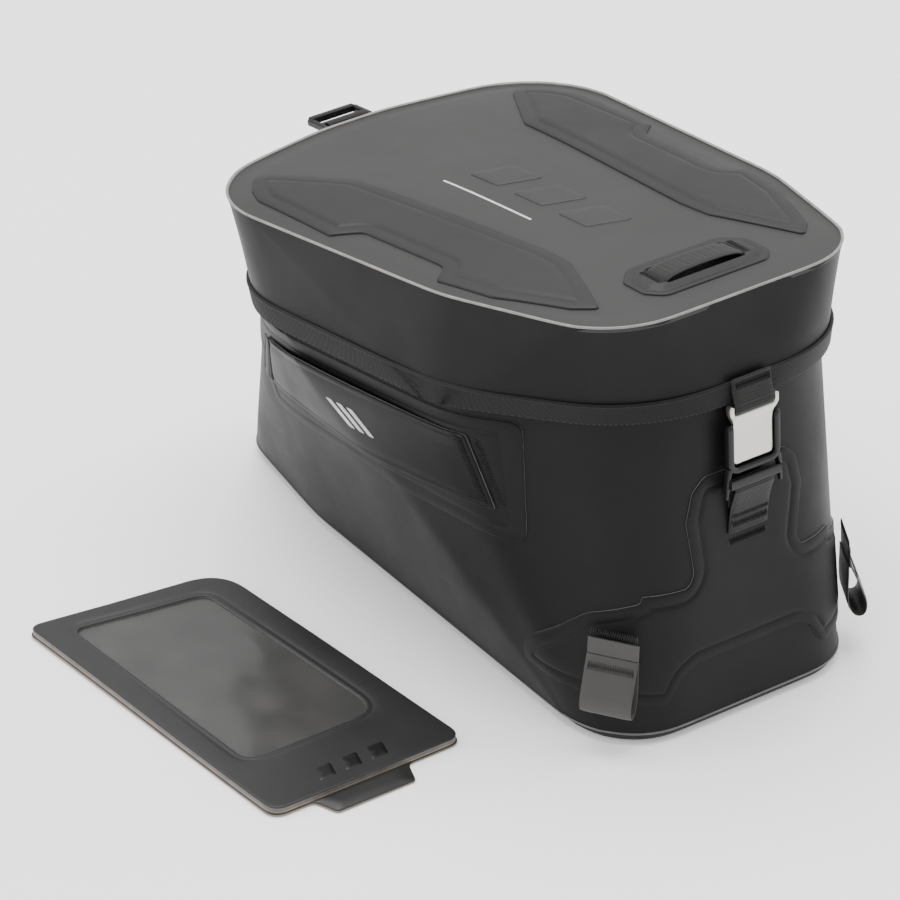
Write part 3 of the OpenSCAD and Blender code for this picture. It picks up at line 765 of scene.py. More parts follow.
def make_lining():
    low, height = 9.2, 180
    a = around(300)
    top = wall_top(a)
    rings, ups = [], []
    for t in np.linspace(1, 0, 26):
        z = low + (top - 1.0 - low) * t
        slack = 0.5 * waves(a * WALL_HALF, z, 5.0, 70)
        rings.append(wall(a, z, -WALL_T - 1.1 + slack - 0.4))
        ups.append(t * height)
    for inset, z in ((-5.4, 7.6), (-8.5, 7.0), (-8.5, 6.0), (-4.4, 6.0)):
        rings.append(wall(a, z, inset))
        ups.append(z)
    for t in np.linspace(0, 1, 8):
        rings.append(wall(a, low + (top - 1.0 - low) * t, -WALL_T - 0.1))
        ups.append(t * height)
    o = shell("wall_lining_cloth", rings, ups, WALL_HALF, M["lining"])
    finish_piece(o, "bag_body", ["wall_lining"])
    ring = wall(a, 7.0, -WALL_T - 1.8)[:, :2]
    rise = lambda p, d: 0.35 * waves(p[:, 0], p[:, 1], 8.0, 60) + 0.3
    floor = patch("floor_mat", ring, lambda p, h: np.column_stack([p, 6.9 + h]), rise, [M["lining"]],
                  step=7, depths=(1.2, 3.0), low=-1.2)
    finish_piece(floor, "bag_body", ["floor_lining"])


def make_collar():
    top_w, top_grow, height = -9.0, -7.5, 47
    count = 360
    a = around(count)

    def collar(a, off, w):
        share = (w - SEAM_W) / (top_w - SEAM_W)
        grow = SEAM_GROW + (top_grow - SEAM_GROW) * share + off
        return ring_point(a, grow, w, LOW_LINE, COLLAR_LINE, np.minimum(share, 1))
    rings, ups = [], []
    for t in np.linspace(0, 1, 16):
        w = SEAM_W + (top_w - SEAM_W) * t
        soft = 0.35 * waves(a * LID_HALF, np.full(count, w), 2.0, 60) * math.sin(math.pi * t)
        rings.append(collar(a, soft, w))
        ups.append(t * height)
    for w, off in ((top_w + 0.8, -0.8), (top_w + 0.9, -2.0), (top_w, -2.9)):
        rings.append(collar(a, off, w))
        ups.append(height - off)
    for t in np.linspace(1, 0, 10):
        rings.append(collar(a, -2.6, SEAM_W + (top_w - 2 - SEAM_W) * t))
        ups.append(52 + height * (1 - t))
    o = shell("mouth_collar_sheet", rings, ups, LID_HALF, M["wall"])
    finish_piece(o, "bag_body", ["mouth_collar"])
    places = 560
    stitch = around(places)
    lines = [collar(np.linspace(start, start + 1.4 / places * 2, 3), 0.1, row)
             for row in (-12.4, -16.2) for start in stitch[::2]]
    sew("collar_stitching", lines, "bag_body", radius=0.3)


# ---- patches on the walls ----
def rounded_edge(d, radius, least):
    """Rises round to 1 as the distance d from an edge grows to the radius, and starts at the root of least."""
    return np.sqrt(np.clip(1 - (1 - np.clip(d / radius, 0, 1)) ** 2, least, 1))


def embossed(edge, line_at, line_width, depth, swell=0.0):
    """Height of a moulded patch: a rounded edge, then an embossed line at a constant distance from it."""
    def height(p, d):
        h = edge * rounded_edge(d, 0.7, 0.2) - depth * bump(d, line_at, line_width)
        return h + swell * ramp(d, line_at, line_at + 3)
    return height


def unrolled(points, axis):
    """Flat wall points [along, height] from points given by x or y and height."""
    return np.array([(share_at(abs(p[0]) if axis == 0 else p[0], p[1], axis) * WALL_HALF, p[1])
                     for p in points])


def make_rear_patch():
    near = [(26, 139), (33, 132), (37, 116), (33, 88), (36, 81), (60, 80.5)]
    round_corner = [(-174, 77), (-156, 70), (-144, 60), (-119, 31), (-122, 28.5), (-157, 25.5), (-174, 22.5)]
    under = [(50, 20), (42, 33), (32, 38)]
    right = np.vstack([unrolled(near, 0), unrolled(round_corner, 1), unrolled(under, 0)])
    radii = [5, 6, 10, 8, 6, 12, 10, 12, 8, 2.5, 2.5, 8, 8, 9, 8, 6]
    corners = np.vstack([right, right[::-1] * [-1, 1]])
    ring = soften(corners, radii + radii[::-1], 1.3)
    h = embossed(PATCH_T, 6.4, 0.75, 0.5, 0.35)
    o = patch("rear_reinforcement", ring, on_wall(RIGHT), h, [M["patch_wall"], M["edge"]],
              step=6, depths=(0.3, 0.75, 5.0, 5.9, 6.4, 6.9, 7.8, 9.4))
    finish_piece(o, "bag_body", ["rear_patch"])


def lid_slope_point(v, w):
    """Flat wall point of a place given by the lid's slope."""
    p = from_lid(0, v, w)
    return (share_at(p[1], p[2], 1) * WALL_HALF, p[2])


SIDE_PATCH = [(-112, -126), (-112, -60.6), (112, -60.6), (112, -126)]


def make_side_patches():
    def row(start, end, n):
        return [(start[0] + (end[0] - start[0]) * t, start[1] + (end[1] - start[1]) * t)
                for t in np.linspace(0, 1, n, endpoint=False)]
    sampled, radii = [], []
    for i, c in enumerate(SIDE_PATCH):
        part = row(c, SIDE_PATCH[(i + 1) % 4], 14 if i % 2 else 4)
        sampled += part
        radii += [11] + [0.5] * (len(part) - 1)
    corners = np.array([lid_slope_point(*c) for c in sampled])
    ring = soften(corners, radii, 1.3)
    h = embossed(PATCH_T, 7.2, 0.8, 0.4, 0.25)
    for side, word in SIDES:
        o = patch(word + "_side_reinforcement", ring, on_wall(side), h, [M["patch_wall"], M["edge"]],
                  step=6.5, depths=(0.3, 0.75, 5.6, 6.6, 7.2, 7.8, 9.0, 10.6))
        finish_piece(o, "bag_body", [word + "_side_patch"])


# ---- carry bands ----
BAND_V, BAND_W, BAND_LEN, BAND_H, BAND_T, BAND_GAP = 3.0, -90.0, 188.0, 37.0, 2.0, 2.6
BAND_ROWS = (-0.955, 0.93)
PATCH_ROWS = (-1.045, 1.045)


def on_band(side, on_patch=False):
    """Puts flat band points [along from its middle, across] at a height over the wall."""
    ks = np.linspace(-1.2, 1.2, 49)
    base = np.array([lid_slope_point(BAND_V + k * BAND_LEN / 2, BAND_W) for k in ks])

    def place(p, h):
        k = p[:, 0] / (BAND_LEN / 2)
        z = np.interp(k, ks, base[:, 1]) + p[:, 1] * math.cos(TILT)
        lift = 0 if on_patch else BAND_GAP * np.clip(1 - k * k, 0, 1) ** 2
        return wall(side * np.interp(k, ks, base[:, 0]) / WALL_HALF, z, h + PATCH_T + 0.3 + lift)
    return place


def make_carry_bands():
    half, high = BAND_LEN / 2, BAND_H / 2
    ring = soften([(-half, -high), (half, -high), (half, high), (-half, high)], 1.2, 1.3)

    def height(p, d):
        h = BAND_T * rounded_edge(d, 0.8, 0.25)
        h = h - 0.3 * bump(d, 3.2, 0.5) * (1 - ramp(np.abs(p[:, 0]), half - 9, half - 6))
        for row in BAND_ROWS:
            h = h - 0.55 * bump(p[:, 0], row * half, 2.0)
        return h + 0.35 * ramp(d, 3, 10)
    dents = [[(row * half + dx, y) for y in np.arange(-high + 1.5, high - 1, 1.6)]
             for row in BAND_ROWS for dx in (-2.6, -1.2, 0, 1.2, 2.6)]
    bar = np.array([(-13, -5.5), (-8.2, -5.5), (-4.6, 5.5), (-9.4, 5.5)])
    for side, word in SIDES:
        on = on_band(side)
        o = patch(word + "_carry_strap", ring, on, height, [M["band"], M["edge"]], step=4.5,
                  depths=(0.3, 0.8, 2.4, 3.2, 4.0), low=0.1, extra=dents)
        finish_piece(o, "bag_body", [word + "_carry_band"])
        lines = []
        for place, rows, apart, width, lift in ((on, BAND_ROWS, 0.7, 2.6, BAND_T + 0.05),
                                                (on_band(side, True), PATCH_ROWS, 0.6, 2.4, 0.05)):
            for x in [row * half + dx for row in rows for dx in (-apart, apart)]:
                lines.append(stitch_row(place, (x, -high + 2), (x, high - 2), width, 1.25, lift))
        sew(word + "_band_stitching", lines, "bag_body", [word + "_bartacks"])
        rise = lambda p, d: BAND_T + 0.35 + 0.25 * np.clip(d / 0.4, 0.2, 1)
        for i in range(3):
            outline = soften(bar * [-side, 1] + [(i * 8.2 + 4) * -side - 2, 0], 0.8, 0.7)
            o = patch(f"{word}_badge_bar_{i + 1}", outline, on, rise, [M["badge"]], step=2, depths=(0.4,),
                      low=BAND_T - 0.3)
            finish_piece(o, "bag_body", [word + "_band_badge"])


# ---- rear buckle ----
PIN_OUT, PIN_UP = 6.6, 173.6
BAR_OUT, BAR_UP = 5.2, 131.0


def arc(cx, cy, r, start, end, n=14):
    t = np.radians(np.linspace(start, end, n))
    return [(cx + r * math.cos(x), cy + r * math.sin(x)) for x in t]


def rear_surface(p, h):
    return on_rear(p[:, 0], h, p[:, 1])


def make_buckle_webbing():
    upper = smooth_line([(5.75, 189.5), (6.0, 186), (6.9, 181), (8.3, 177)], 2).tolist()
    upper += arc(PIN_OUT, PIN_UP, 2.35, 38, -150, 16)
    upper += [(4.5, 174.6), (5.0, 176.6)]
    o = strap("hook_webbing", upper, on_rear, WEBBING_W, 1.5, M["webbing"])
    finish_piece(o, "lid", ["upper_webbing"])
    lower = smooth_line([(2.3, 104), (2.7, 110), (4.0, 118), (6.5, 125.5), (8.0, 129)], 2).tolist()
    lower += arc(BAR_OUT, BAR_UP, 2.85, -15, 190, 18)
    lower += smooth_line([(2.5, 128.4), (2.4, 124), (2.5, 119)], 1).tolist()
    o = strap("receiver_webbing", lower, on_rear, WEBBING_W, 1.5, M["webbing"], rib_depth=0.1)
    finish_piece(o, "bag_body", ["lower_webbing"])

    def rows(places):
        return [stitch_row(rear_surface, (-half, up), (half, up), 2.4, 1.25, out) for half, up, out in places]
    sew("receiver_stitching", rows([(12, 99.5, 1.55), (12, 98.3, 1.55), (11.5, 108.5, 3.35), (11.5, 109.8, 3.5),
                                    (11.5, 114, 4.1)]), "bag_body")
    sew("hook_stitching", rows([(11.5, 186.5, 6.75), (11.5, 185.2, 6.95)]), "lid")


def make_buckle_plate():
    right = [(12.6, 143.6), (12.6, 161), (13.1, 166.5), (15.4, 171.5), (15.4, 176.2), (12.9, 176.2),
             (12.7, 170.8)]
    left = [(-x, y) for x, y in right[::-1]]
    ring = soften(right + left, [2.6, 6, 6, 3, 1.2, 1.2, 2.0, 2.0, 1.2, 1.2, 3, 6, 6, 2.6], 0.5)

    def front(p, d):
        roll = ramp(p[:, 1], 163, 170.5)
        ear = ramp(np.abs(p[:, 0]), 10.5, 13.5) * ramp(p[:, 1], 165, 172)
        return 7.45 - (1 - rounded_edge(d, 1.1, 0)) + 0.5 * roll + 1.2 * ear

    def back(p, d):
        ear = ramp(p[:, 1], 168, 174) * ramp(np.abs(p[:, 0]), 11, 13.5)
        return 5.6 - 0.9 * ear + 0.5 * (1 - np.clip(d / 0.7, 0, 1))
    o = patch("hook_plate", ring, rear_surface, front, [M["metal"]], step=1.4,
              depths=(0.12, 0.3, 0.6, 1.1, 1.7), low=back, sharp=60)
    finish_piece(o, "buckle_hook", ["buckle_plate"])
    t = np.linspace(-15.2, 15.2, 3)
    pin = tubes("hook_bar", [on_rear(t, PIN_OUT, PIN_UP)], 1.3, 20, [M["metal"]])
    finish_piece(pin, "buckle_hook", ["buckle_pin"])


def make_buckle_frame():
    def sweep(name, path, width, depth, mid_out, r, sizes, nodes=()):
        place = lambda x, out, up: on_rear(x, mid_out + out, up)
        o = moulding(name, path, rounded_section(width, depth, r), place, sizes)
        finish_piece(o, "buckle_receiver", nodes)
    side = 14.75
    u = [(-side - 0.3, 166.2), (-side, 164), (-side, 150)] + arc(-side + 4.2, 144.9, 4.2, 180, 270, 8)
    u += arc(side - 4.2, 144.9, 4.2, 270, 360, 8) + [(side, 150), (side, 164), (side + 0.3, 166.2)]
    line, t = spread_line(u, 1.2)
    sizes = np.clip(np.minimum(t, t[-1] - t) / 1.6, 0, 1) ** 0.5 * 0.45 + 0.55
    sweep("receiver_frame", line, 3.3, 4.6, 6.5, 1.0, sizes, ["buckle_frame"])
    sweep("receiver_lower_bar", [(-16.2, 134.1), (0, 134.1), (16.2, 134.1)], 4.8, 1.8, 8.9, 0.7, np.ones(3))
    for s, word in SIDES:
        wing = smooth_line([(s * 15.2, 142.5), (s * 16.3, 137.5), (s * 16.9, 132), (s * 17.3, 126.5)], 2)
        wing, t = spread_line(wing, 1.0)
        sweep("receiver_wing_" + word, wing, 2.4, 4.4, 6.6, 0.9, 1 - 0.45 * t / t[-1])
    t = np.linspace(-16.6, 16.6, 3)
    bar = tubes("receiver_bar", [on_rear(t, BAR_OUT, BAR_UP)], 1.7, 20, [M["plastic"]])
    finish_piece(bar, "buckle_receiver")


# ---- tie loops at the rear corners ----
LOOP_W = 27.0


def make_tie_loops():
    outer = smooth_line([(5.6, 51.8), (8.4, 46), (12.2, 37), (15.2, 29), (13.9, 22.8), (9.0, 22.6), (5.4, 28),
                         (4.6, 37), (4.6, 46), (4.4, 51.4)], 3)
    root = smooth_line([(4.7, 61.0), (4.9, 56), (5.2, 51.2)], 1)
    for side, word in SIDES:
        place = on_corner(side)
        shift = -8.0 if side < 0 else 0.0
        across = lambda x, out, up: place(out, x + shift, up)
        o = strap(word + "_loop_tape", outer, across, LOOP_W, 1.25, M["tape"], rib=None, step=0.8)
        finish_piece(o, word + "_loop", [word + "_tie_loop"])
        o = strap(word + "_loop_root", root, across, LOOP_W, 1.2, M["tape"], rib=None, step=0.8)
        finish_piece(o, "bag_body", [word + "_loop_base"])
        on_root = lambda p, h: across(p[:, 0], h, p[:, 1])
        tape_out = lambda up: np.interp(up, [37, 46, 51.8], [12.9, 9.1, 6.3])
        on_tape = lambda p, h: across(p[:, 0], h + tape_out(p[:, 1]), p[:, 1])
        lines = [stitch_row(on_root, (-12.5, up), (12.5, up), 2.6, 1.25, out)
                 for up, out in ((64.5, 4.2), (63.2, 4.3))]
        sew(word + "_loop_root_stitching", lines, "bag_body")
        lines = [stitch_row(on_tape, (-12.0, up), (12.0, up), 2.6, 1.25, 0.0) for up in (47.6, 46.2)]
        sew(word + "_loop_stitching", lines, word + "_loop")


# ---- lid ----
def lid_outline(count):
    """Points of the lid's outline [x, v], with the side that each is on and its outward direction."""
    a = around(count)
    mirrored = np.stack([np.where(a < 0, -1.0, 1.0), np.ones(count)], 1)
    return lookup(np.abs(a), LID_SHARE, LID_LINE) * mirrored, mirrored * lookup(np.abs(a), LID_SHARE, NORMALS)


def make_lid_panel():
    count = 420
    line, _ = lid_outline(count)
    scales = [1.0, 0.993, 0.98, 0.96, 0.94, 0.92, 0.9, 0.87, 0.83, 0.78, 0.72, 0.65, 0.57, 0.48, 0.38, 0.27,
              0.15, 0.06]
    top, low, flats = [], [], []
    for s in scales:
        x, v = line[:, 0] * s, LID_MID + (line[:, 1] - LID_MID) * s
        top.append(from_lid(x, v, lid_top(x, v)))
        low.append(from_lid(x * 0.998, v, lid_top(x, v) - 2.0))
        flats.append(np.stack([x, v], 1))
    crown = lid_top(np.array(0.0), np.array(LID_MID))
    points = np.vstack(top + low + [from_lid(0, LID_MID, crown)[None], from_lid(0, LID_MID, crown - 2.0)[None]])
    below = len(scales) * count
    last = below - count
    faces = grid_faces(len(scales), count, False, True)
    faces += [[f + below for f in q][::-1] for q in faces]
    for j in range(count):
        q = (j + 1) % count
        faces.append([last + j, last + q, 2 * below])
        faces.append([last + below + q, last + below + j, 2 * below + 1])
        faces.append([q, j, j + below, q + below])
    flat = np.vstack(flats + flats + [[(0, LID_MID)], [(0, LID_MID)]])
    # The top sheet takes the lighter copy of the coated fabric, with painted light in its tone.
    o = mesh_object("lid_top_sheet", points, face_out(points, faces), [M["top"]], None, flat)
    finish_piece(o, "lid", ["lid_panel"])


def make_rim():
    section = [(-0.8, -0.9), (0.0, -1.0), (0.42, -0.7), (0.58, -0.2), (0.45, 0.25), (0.1, 0.42), (-0.4, 0.3),
               (-0.9, -0.2)]

    def nibble(a, index, off, up):
        along = a * LID_HALF
        return 0.08 * np.sin(along * 2 * np.pi / 1.7) * (off > 0.5) + 0.06 * waves(along, up, 4.0, 40)
    # The piping's pale colour is a welded edge with a painted highlight in it.
    o = ring_band("rim_piping", lid_edge, section, 1300, [M["weld"]], wave=nibble)
    finish_piece(o, "lid", ["rim_bead"])


def make_skirt():
    rows = 22
    low = -SKIRT_H + 0.4
    outer = [(0.0, -0.7 + (low + 0.7) * t) for t in np.linspace(0, 1, rows)]
    inner = [(-2.2, -2.4 + (low + 2.4) * t) for t in np.linspace(1, 0, 8)]

    def soft(a, index, off, up):
        span = np.sin(np.pi * np.clip(-up / SKIRT_H, 0, 1))
        return (-0.7 * span + 0.45 * span * waves(a * LID_HALF, up * 1.2, 6.0, 130)) * (index < rows)
    o = ring_band("lid_skirt_sheet", lid_edge, outer + inner, 420, [M["wall"]], wave=soft)
    finish_piece(o, "lid", ["lid_skirt"])


def make_binding():
    """Herringbone tape folded over the skirt's lower edge, with its ribs in the mesh."""
    low, high = -SKIRT_H - 0.8, -SKIRT_H + 10.6
    ws = np.concatenate([[high - 0.15], np.linspace(high - 0.5, low + 1.0, 13), [low + 0.3]])
    outer = [(TAPE_T, w) for w in ws]
    folded = [(0.6, low), (-2.2, low), (-2.85, low + 0.6), (-2.85, low + 7), (-2.2, low + 7.2),
              (-2.0, low + 2.2), (0.0, -SKIRT_H + 1), (-0.1, high)]

    def ribs(a, index, off, up):
        turn = (a * LID_HALF + (up - low) * 1.05) / 2.2
        saw = np.abs((turn % 1) - 0.5) * 2
        selvage = ramp(up, high - 1.6, high - 0.8)
        return (0.42 * (saw - 0.5) * (1 - selvage) + 0.12 * selvage - 0.5 * (index == 0)) * (index < len(outer))
    o = ring_band("skirt_binding_tape", lid_edge, outer + folded, 2400, [M["binding"]], wave=ribs, sharp=70)
    finish_piece(o, "lid", ["skirt_binding"])
    step = 2.0 / 700
    along, rise = np.array([0.12, 0.5, 0.88]), np.array([0.0, 0.2, 0.0])
    lines = [lid_edge(-1 + step * (i + along), TAPE_T + rise, high - 1.1) for i in range(700)]
    sew("binding_stitching", lines, "lid", radius=0.24, sides=4)


LID_PATCH = [(84, 117), (98, 99), (103.5, 86), (104, 24), (91, 13), (88.5, -50), (100, -58.5), (93, -93),
             (75.5, -133), (65, -143.5), (43.5, -94), (42.5, -74), (46.5, -25), (53, 54), (54, 67)]
LID_PATCH_R = [8, 14, 16, 3.5, 9, 9, 3, 14, 9, 3, 10, 10, 40, 20, 9]


def make_lid_patches():
    for side, word in SIDES:
        corners = np.array(LID_PATCH, float) * [side, 1]
        ring = soften(corners, LID_PATCH_R, 1.2)

        def height(p, d):
            return 1.15 * rounded_edge(d, 0.6, 0.2) - 0.28 * bump(d, 7.4, 0.9) + 0.75 * ramp(d, 7.4, 10.0)
        # The lid patches take the lighter patch copy, with painted light in its tone.
        o = patch(word + "_lid_reinforcement", ring, on_lid_top, height, [M["patch_lid"], M["plastic"]],
                  step=5, depths=(0.25, 0.6, 5.8, 6.8, 7.4, 8.0, 8.8, 10.2, 12.0))
        finish_piece(o, "lid", [word + "_lid_patch"])


HANDLE_V = -136.0
HANDLE_HALF = 24.5
HANDLE_W = 16.0


def make_handle():
    outline = [(-39.5, -9), (-32, -17.5), (33, -17.5), (39.5, -10), (39.5, 7), (29, 17.5), (-29, 17.5),
               (-39.5, 7)]
    ring = soften(np.array(outline) + [0, HANDLE_V], [5, 9, 9, 5, 5, 9, 9, 5], 0.9)
    slot = soften(np.array([(-24.5, -9.2), (24.5, -9.2), (24.5, 8.6), (-24.5, 8.6)]) + [0, HANDLE_V], 1.4, 0.8)

    def height(p, d):
        h = rounded_edge(d, 0.6, 0.2) - 0.3 * bump(d, 3.9, 0.6) + 1.7 * ramp(d, 4.0, 8.5)
        gap = edge_distance(p, slot) * np.where(inside(p, slot), 1, -1)
        return h * (1 - ramp(gap, -1.0, 0.8)) + 0.35 * ramp(gap, -1.0, 0.8)
    crowd = [slot, rings_beside(slot, (0.5, 1.0, 1.8), slot)]
    crowd += [slot + (slot - [0, HANDLE_V]) * grow for grow in (0.03, 0.07)]
    o = patch("handle_base", ring, on_lid_top, height, [M["patch_lid"], M["plastic"]], step=2.2,
              depths=(0.25, 0.6, 3.0, 3.5, 3.9, 4.4, 5.2, 6.4), extra=crowd)
    finish_piece(o, "lid", ["handle_patch"])
    s = np.linspace(-1, 1, 60)
    lift = 1.1 + 3.4 * np.sqrt(np.clip(1 - np.abs(s) ** 2.6, 0, 1))
    place = lambda y, x, w: from_lid(x, HANDLE_V - 0.3 + y, w + lid_top(x, np.full(np.shape(x), HANDLE_V)))
    line = np.stack([s * HANDLE_HALF, lift], 1)
    o = strap("grab_strap", line, place, HANDLE_W, 1.5, M["webbing"], rib=1.55, rib_depth=0.2)
    finish_piece(o, "lid", ["grab_handle"])
    lines = [stitch_row(on_lid_top, (x, HANDLE_V - 7.6), (x, HANDLE_V + 7.2), 2.0, 1.2, 2.75)
             for x in (-28.0, -26.9, 26.9, 28.0)]
    sew("handle_stitching", lines, "lid", radius=0.3)


def make_emblem():
    """A generic embossed mark: three slanted blades and a fine pale rule beside them."""
    width, length = 24.0, 108.0
    rise = lambda p, d: 0.15 + 0.35 * np.clip(d / 0.5, 0, 1)
    for i in range(3):
        y = 32 - length / 3 * i
        blade = [(-width / 2, y), (width / 2, y - 0.08 * length), (width / 2, y - 0.3 * length),
                 (-width / 2, y - 0.22 * length)]
        ring = soften(np.array(blade) + [2, 0], 2.5, 1.0)
        o = patch(f"lid_mark_{i + 1}", ring, on_lid_top, rise, [M["top"], M["plastic"]], step=5,
                  depths=(0.3, 0.6))
        finish_piece(o, "lid", ["lid_emblem"])
    ring = soften([(-25, -38), (-23.6, -38), (-23.6, 34), (-25, 34)], 0.3, 1.0)
    o = patch("lid_mark_rule", ring, on_lid_top, lambda p, d: 0.12 + 0 * d, [M["badge"]], step=2, depths=(0.3,))
    finish_piece(o, "lid")


def make_lid_inside():
    """Lining on the lid's board, drawn smooth over it."""
    line, n = lid_outline(300)
    ring = line - unit(n) * 3.0
    crown = lambda p: lid_top(p[:, 0], p[:, 1])
    height = lambda p, d: crown(p) - 5.4
    low = lambda p, d: crown(p) - 6.4 - 0.4 * ramp(d, 2, 14) - 0.25 * waves(p[:, 0], p[:, 1], 7.0, 60)
    place = lambda p, w: from_lid(p[:, 0], p[:, 1], w)
    o = patch("lid_lining_cloth", ring, place, height, [M["lining"]], step=8, depths=(1.5, 4.0), low=low)
    finish_piece(o, "lid", ["lid_lining"])


# ---- front hinge, tab and ladder lock ----
LOCK_V, LOCK_W = LID_FRONT + 6, -3.0
HINGE_V = LID_FRONT + 1.6


def make_hinge():
    """Fabric hinge: its low half lies on the wall and its high half on the skirt, and it turns between them."""
    half = 48.0
    xs = np.linspace(-half, half, 49)
    k = np.linspace(0.62, 1.0, 160)
    profile = smooth_line([(1.6, -45.0), (1.7, -50), (1.9, -55.4), (0.6, -59), (-1.8, -64), (-2.4, -82)], 2)
    line, along = spread_line(profile, 1.2)
    points, flat = [], []
    for off in (0.0, -1.1):
        for (out, w), s in zip(line, along):
            z = LID_Z - LID_FRONT * math.sin(TILT) + w * math.cos(TILT)
            body, skirt = wall(k, z, 1.5), lid_edge(k, out, w)
            share = ramp(w, -63, -57)
            at = lambda surface, axis: np.interp(np.abs(xs), surface[::-1, 0], surface[::-1, axis])
            y = share * at(skirt, 1) + (1 - share) * at(body, 1)
            height = share * at(skirt, 2) + (1 - share) * z
            points.append(np.stack([xs, y + off, height], -1))
            flat.append(np.stack([xs, np.full(len(xs), s)], 1))
    m, n = len(line), len(xs)
    points, flat = np.vstack(points), np.vstack(flat)
    faces = grid_faces(m, n, False, False)
    faces += [[f + m * n for f in q][::-1] for q in faces]
    rim = [(i * n, (i + 1) * n) for i in range(m - 1)]
    rim += [((i + 1) * n + n - 1, i * n + n - 1) for i in range(m - 1)]
    rim += [(j + 1, j) for j in range(n - 1)] + [((m - 1) * n + j, (m - 1) * n + j + 1) for j in range(n - 1)]
    faces += [[p, q, q + m * n, p + m * n] for p, q in rim]
    o = mesh_object("fabric_hinge", points, face_out(points, faces), [M["patch_wall"]], None, flat)
    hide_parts("hinge_strip")
    low = from_lid(0, HINGE_V, -59.5) * MM
    high = from_lid(0, HINGE_V, -53.0) * MM
    tuple(low)
    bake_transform(o)


def make_front_tab():
    tab = smooth_line([(LID_FRONT + 1.1, -18), (LID_FRONT + 1.5, -12), (LOCK_V - 1.6, LOCK_W - 4.2),
                       (LOCK_V, LOCK_W - 2.7)], 2).tolist()
    tab += arc(LOCK_V, LOCK_W, 2.6, -80, 175, 18)
    back = [(LOCK_V - 2.8, LOCK_W - 1.5), (LID_FRONT + 2.2, LOCK_W - 5), (LID_FRONT + 1.9, LOCK_W - 9)]
    tab += smooth_line(back, 1).tolist()
    o = strap("front_webbing_tab", tab, from_lid, WEBBING_W, 1.4, M["webbing"])
    finish_piece(o, "lid", ["front_tab"])


def make_ladder_lock():
    def across(half, v):
        return [(-half, v), (0, v), (half, v)]
    bars = [("lock_front_bar", across(14.6, LOCK_V + 13.2), 3.6, 4.0, LOCK_W + 0.4, ["ladder_lock"]),
            ("lock_middle_bar", across(14.2, LOCK_V + 6.2), 2.4, 2.4, LOCK_W - 0.6, ())]
    for s, word in SIDES:
        x = s * 14.4
        path = [(x, LOCK_V - 2.0), (x, LOCK_V + 4), (x, LOCK_V + 13.8)]
        bars.append(("lock_rail_" + word, path, 3.2, 3.6, LOCK_W, ()))
    for name, path, width, depth, mid, nodes in bars:
        line, t = spread_line(path, 1.0)
        ends = np.clip(np.minimum(t, t[-1] - t) / 0.8, 0, 1) ** 0.5 * 0.3 + 0.7
        place = lambda x, out, up: from_lid(x, up, mid + out)
        o = moulding(name, line, rounded_section(width, depth, 0.8), place, ends)
        finish_piece(o, "front_lock", nodes)
    t = np.linspace(-15.2, 15.2, 3)
    bar = tubes("lock_bar", [from_lid(t, LOCK_V, LOCK_W)], 1.6, 20, [M["plastic"]])
    finish_piece(bar, "front_lock")


# ---- phone pouch ----
POUCH_POS = np.array([-192.0, -24.0])
POUCH_W, POUCH_LEN = 117.0, 208.0


def pouch_corners(inset, tab=True):
    """Corners of the pouch's sheets, with the pull tab at the near end or without it."""
    w, l = POUCH_W / 2 - inset, POUCH_LEN / 2 - inset
    near = [(-34, -l), (-30, -l - 14 + inset), (18, -l - 14 + inset), (24, -l)] if tab else []
    return [(-w, -l)] + near + [(w, -l), (w - 4.5, l - 8), (-w, l + 6)]


POUCH_WINDOW = [(-41, -58), (39, -59), (35, 82), (-41, 94)]


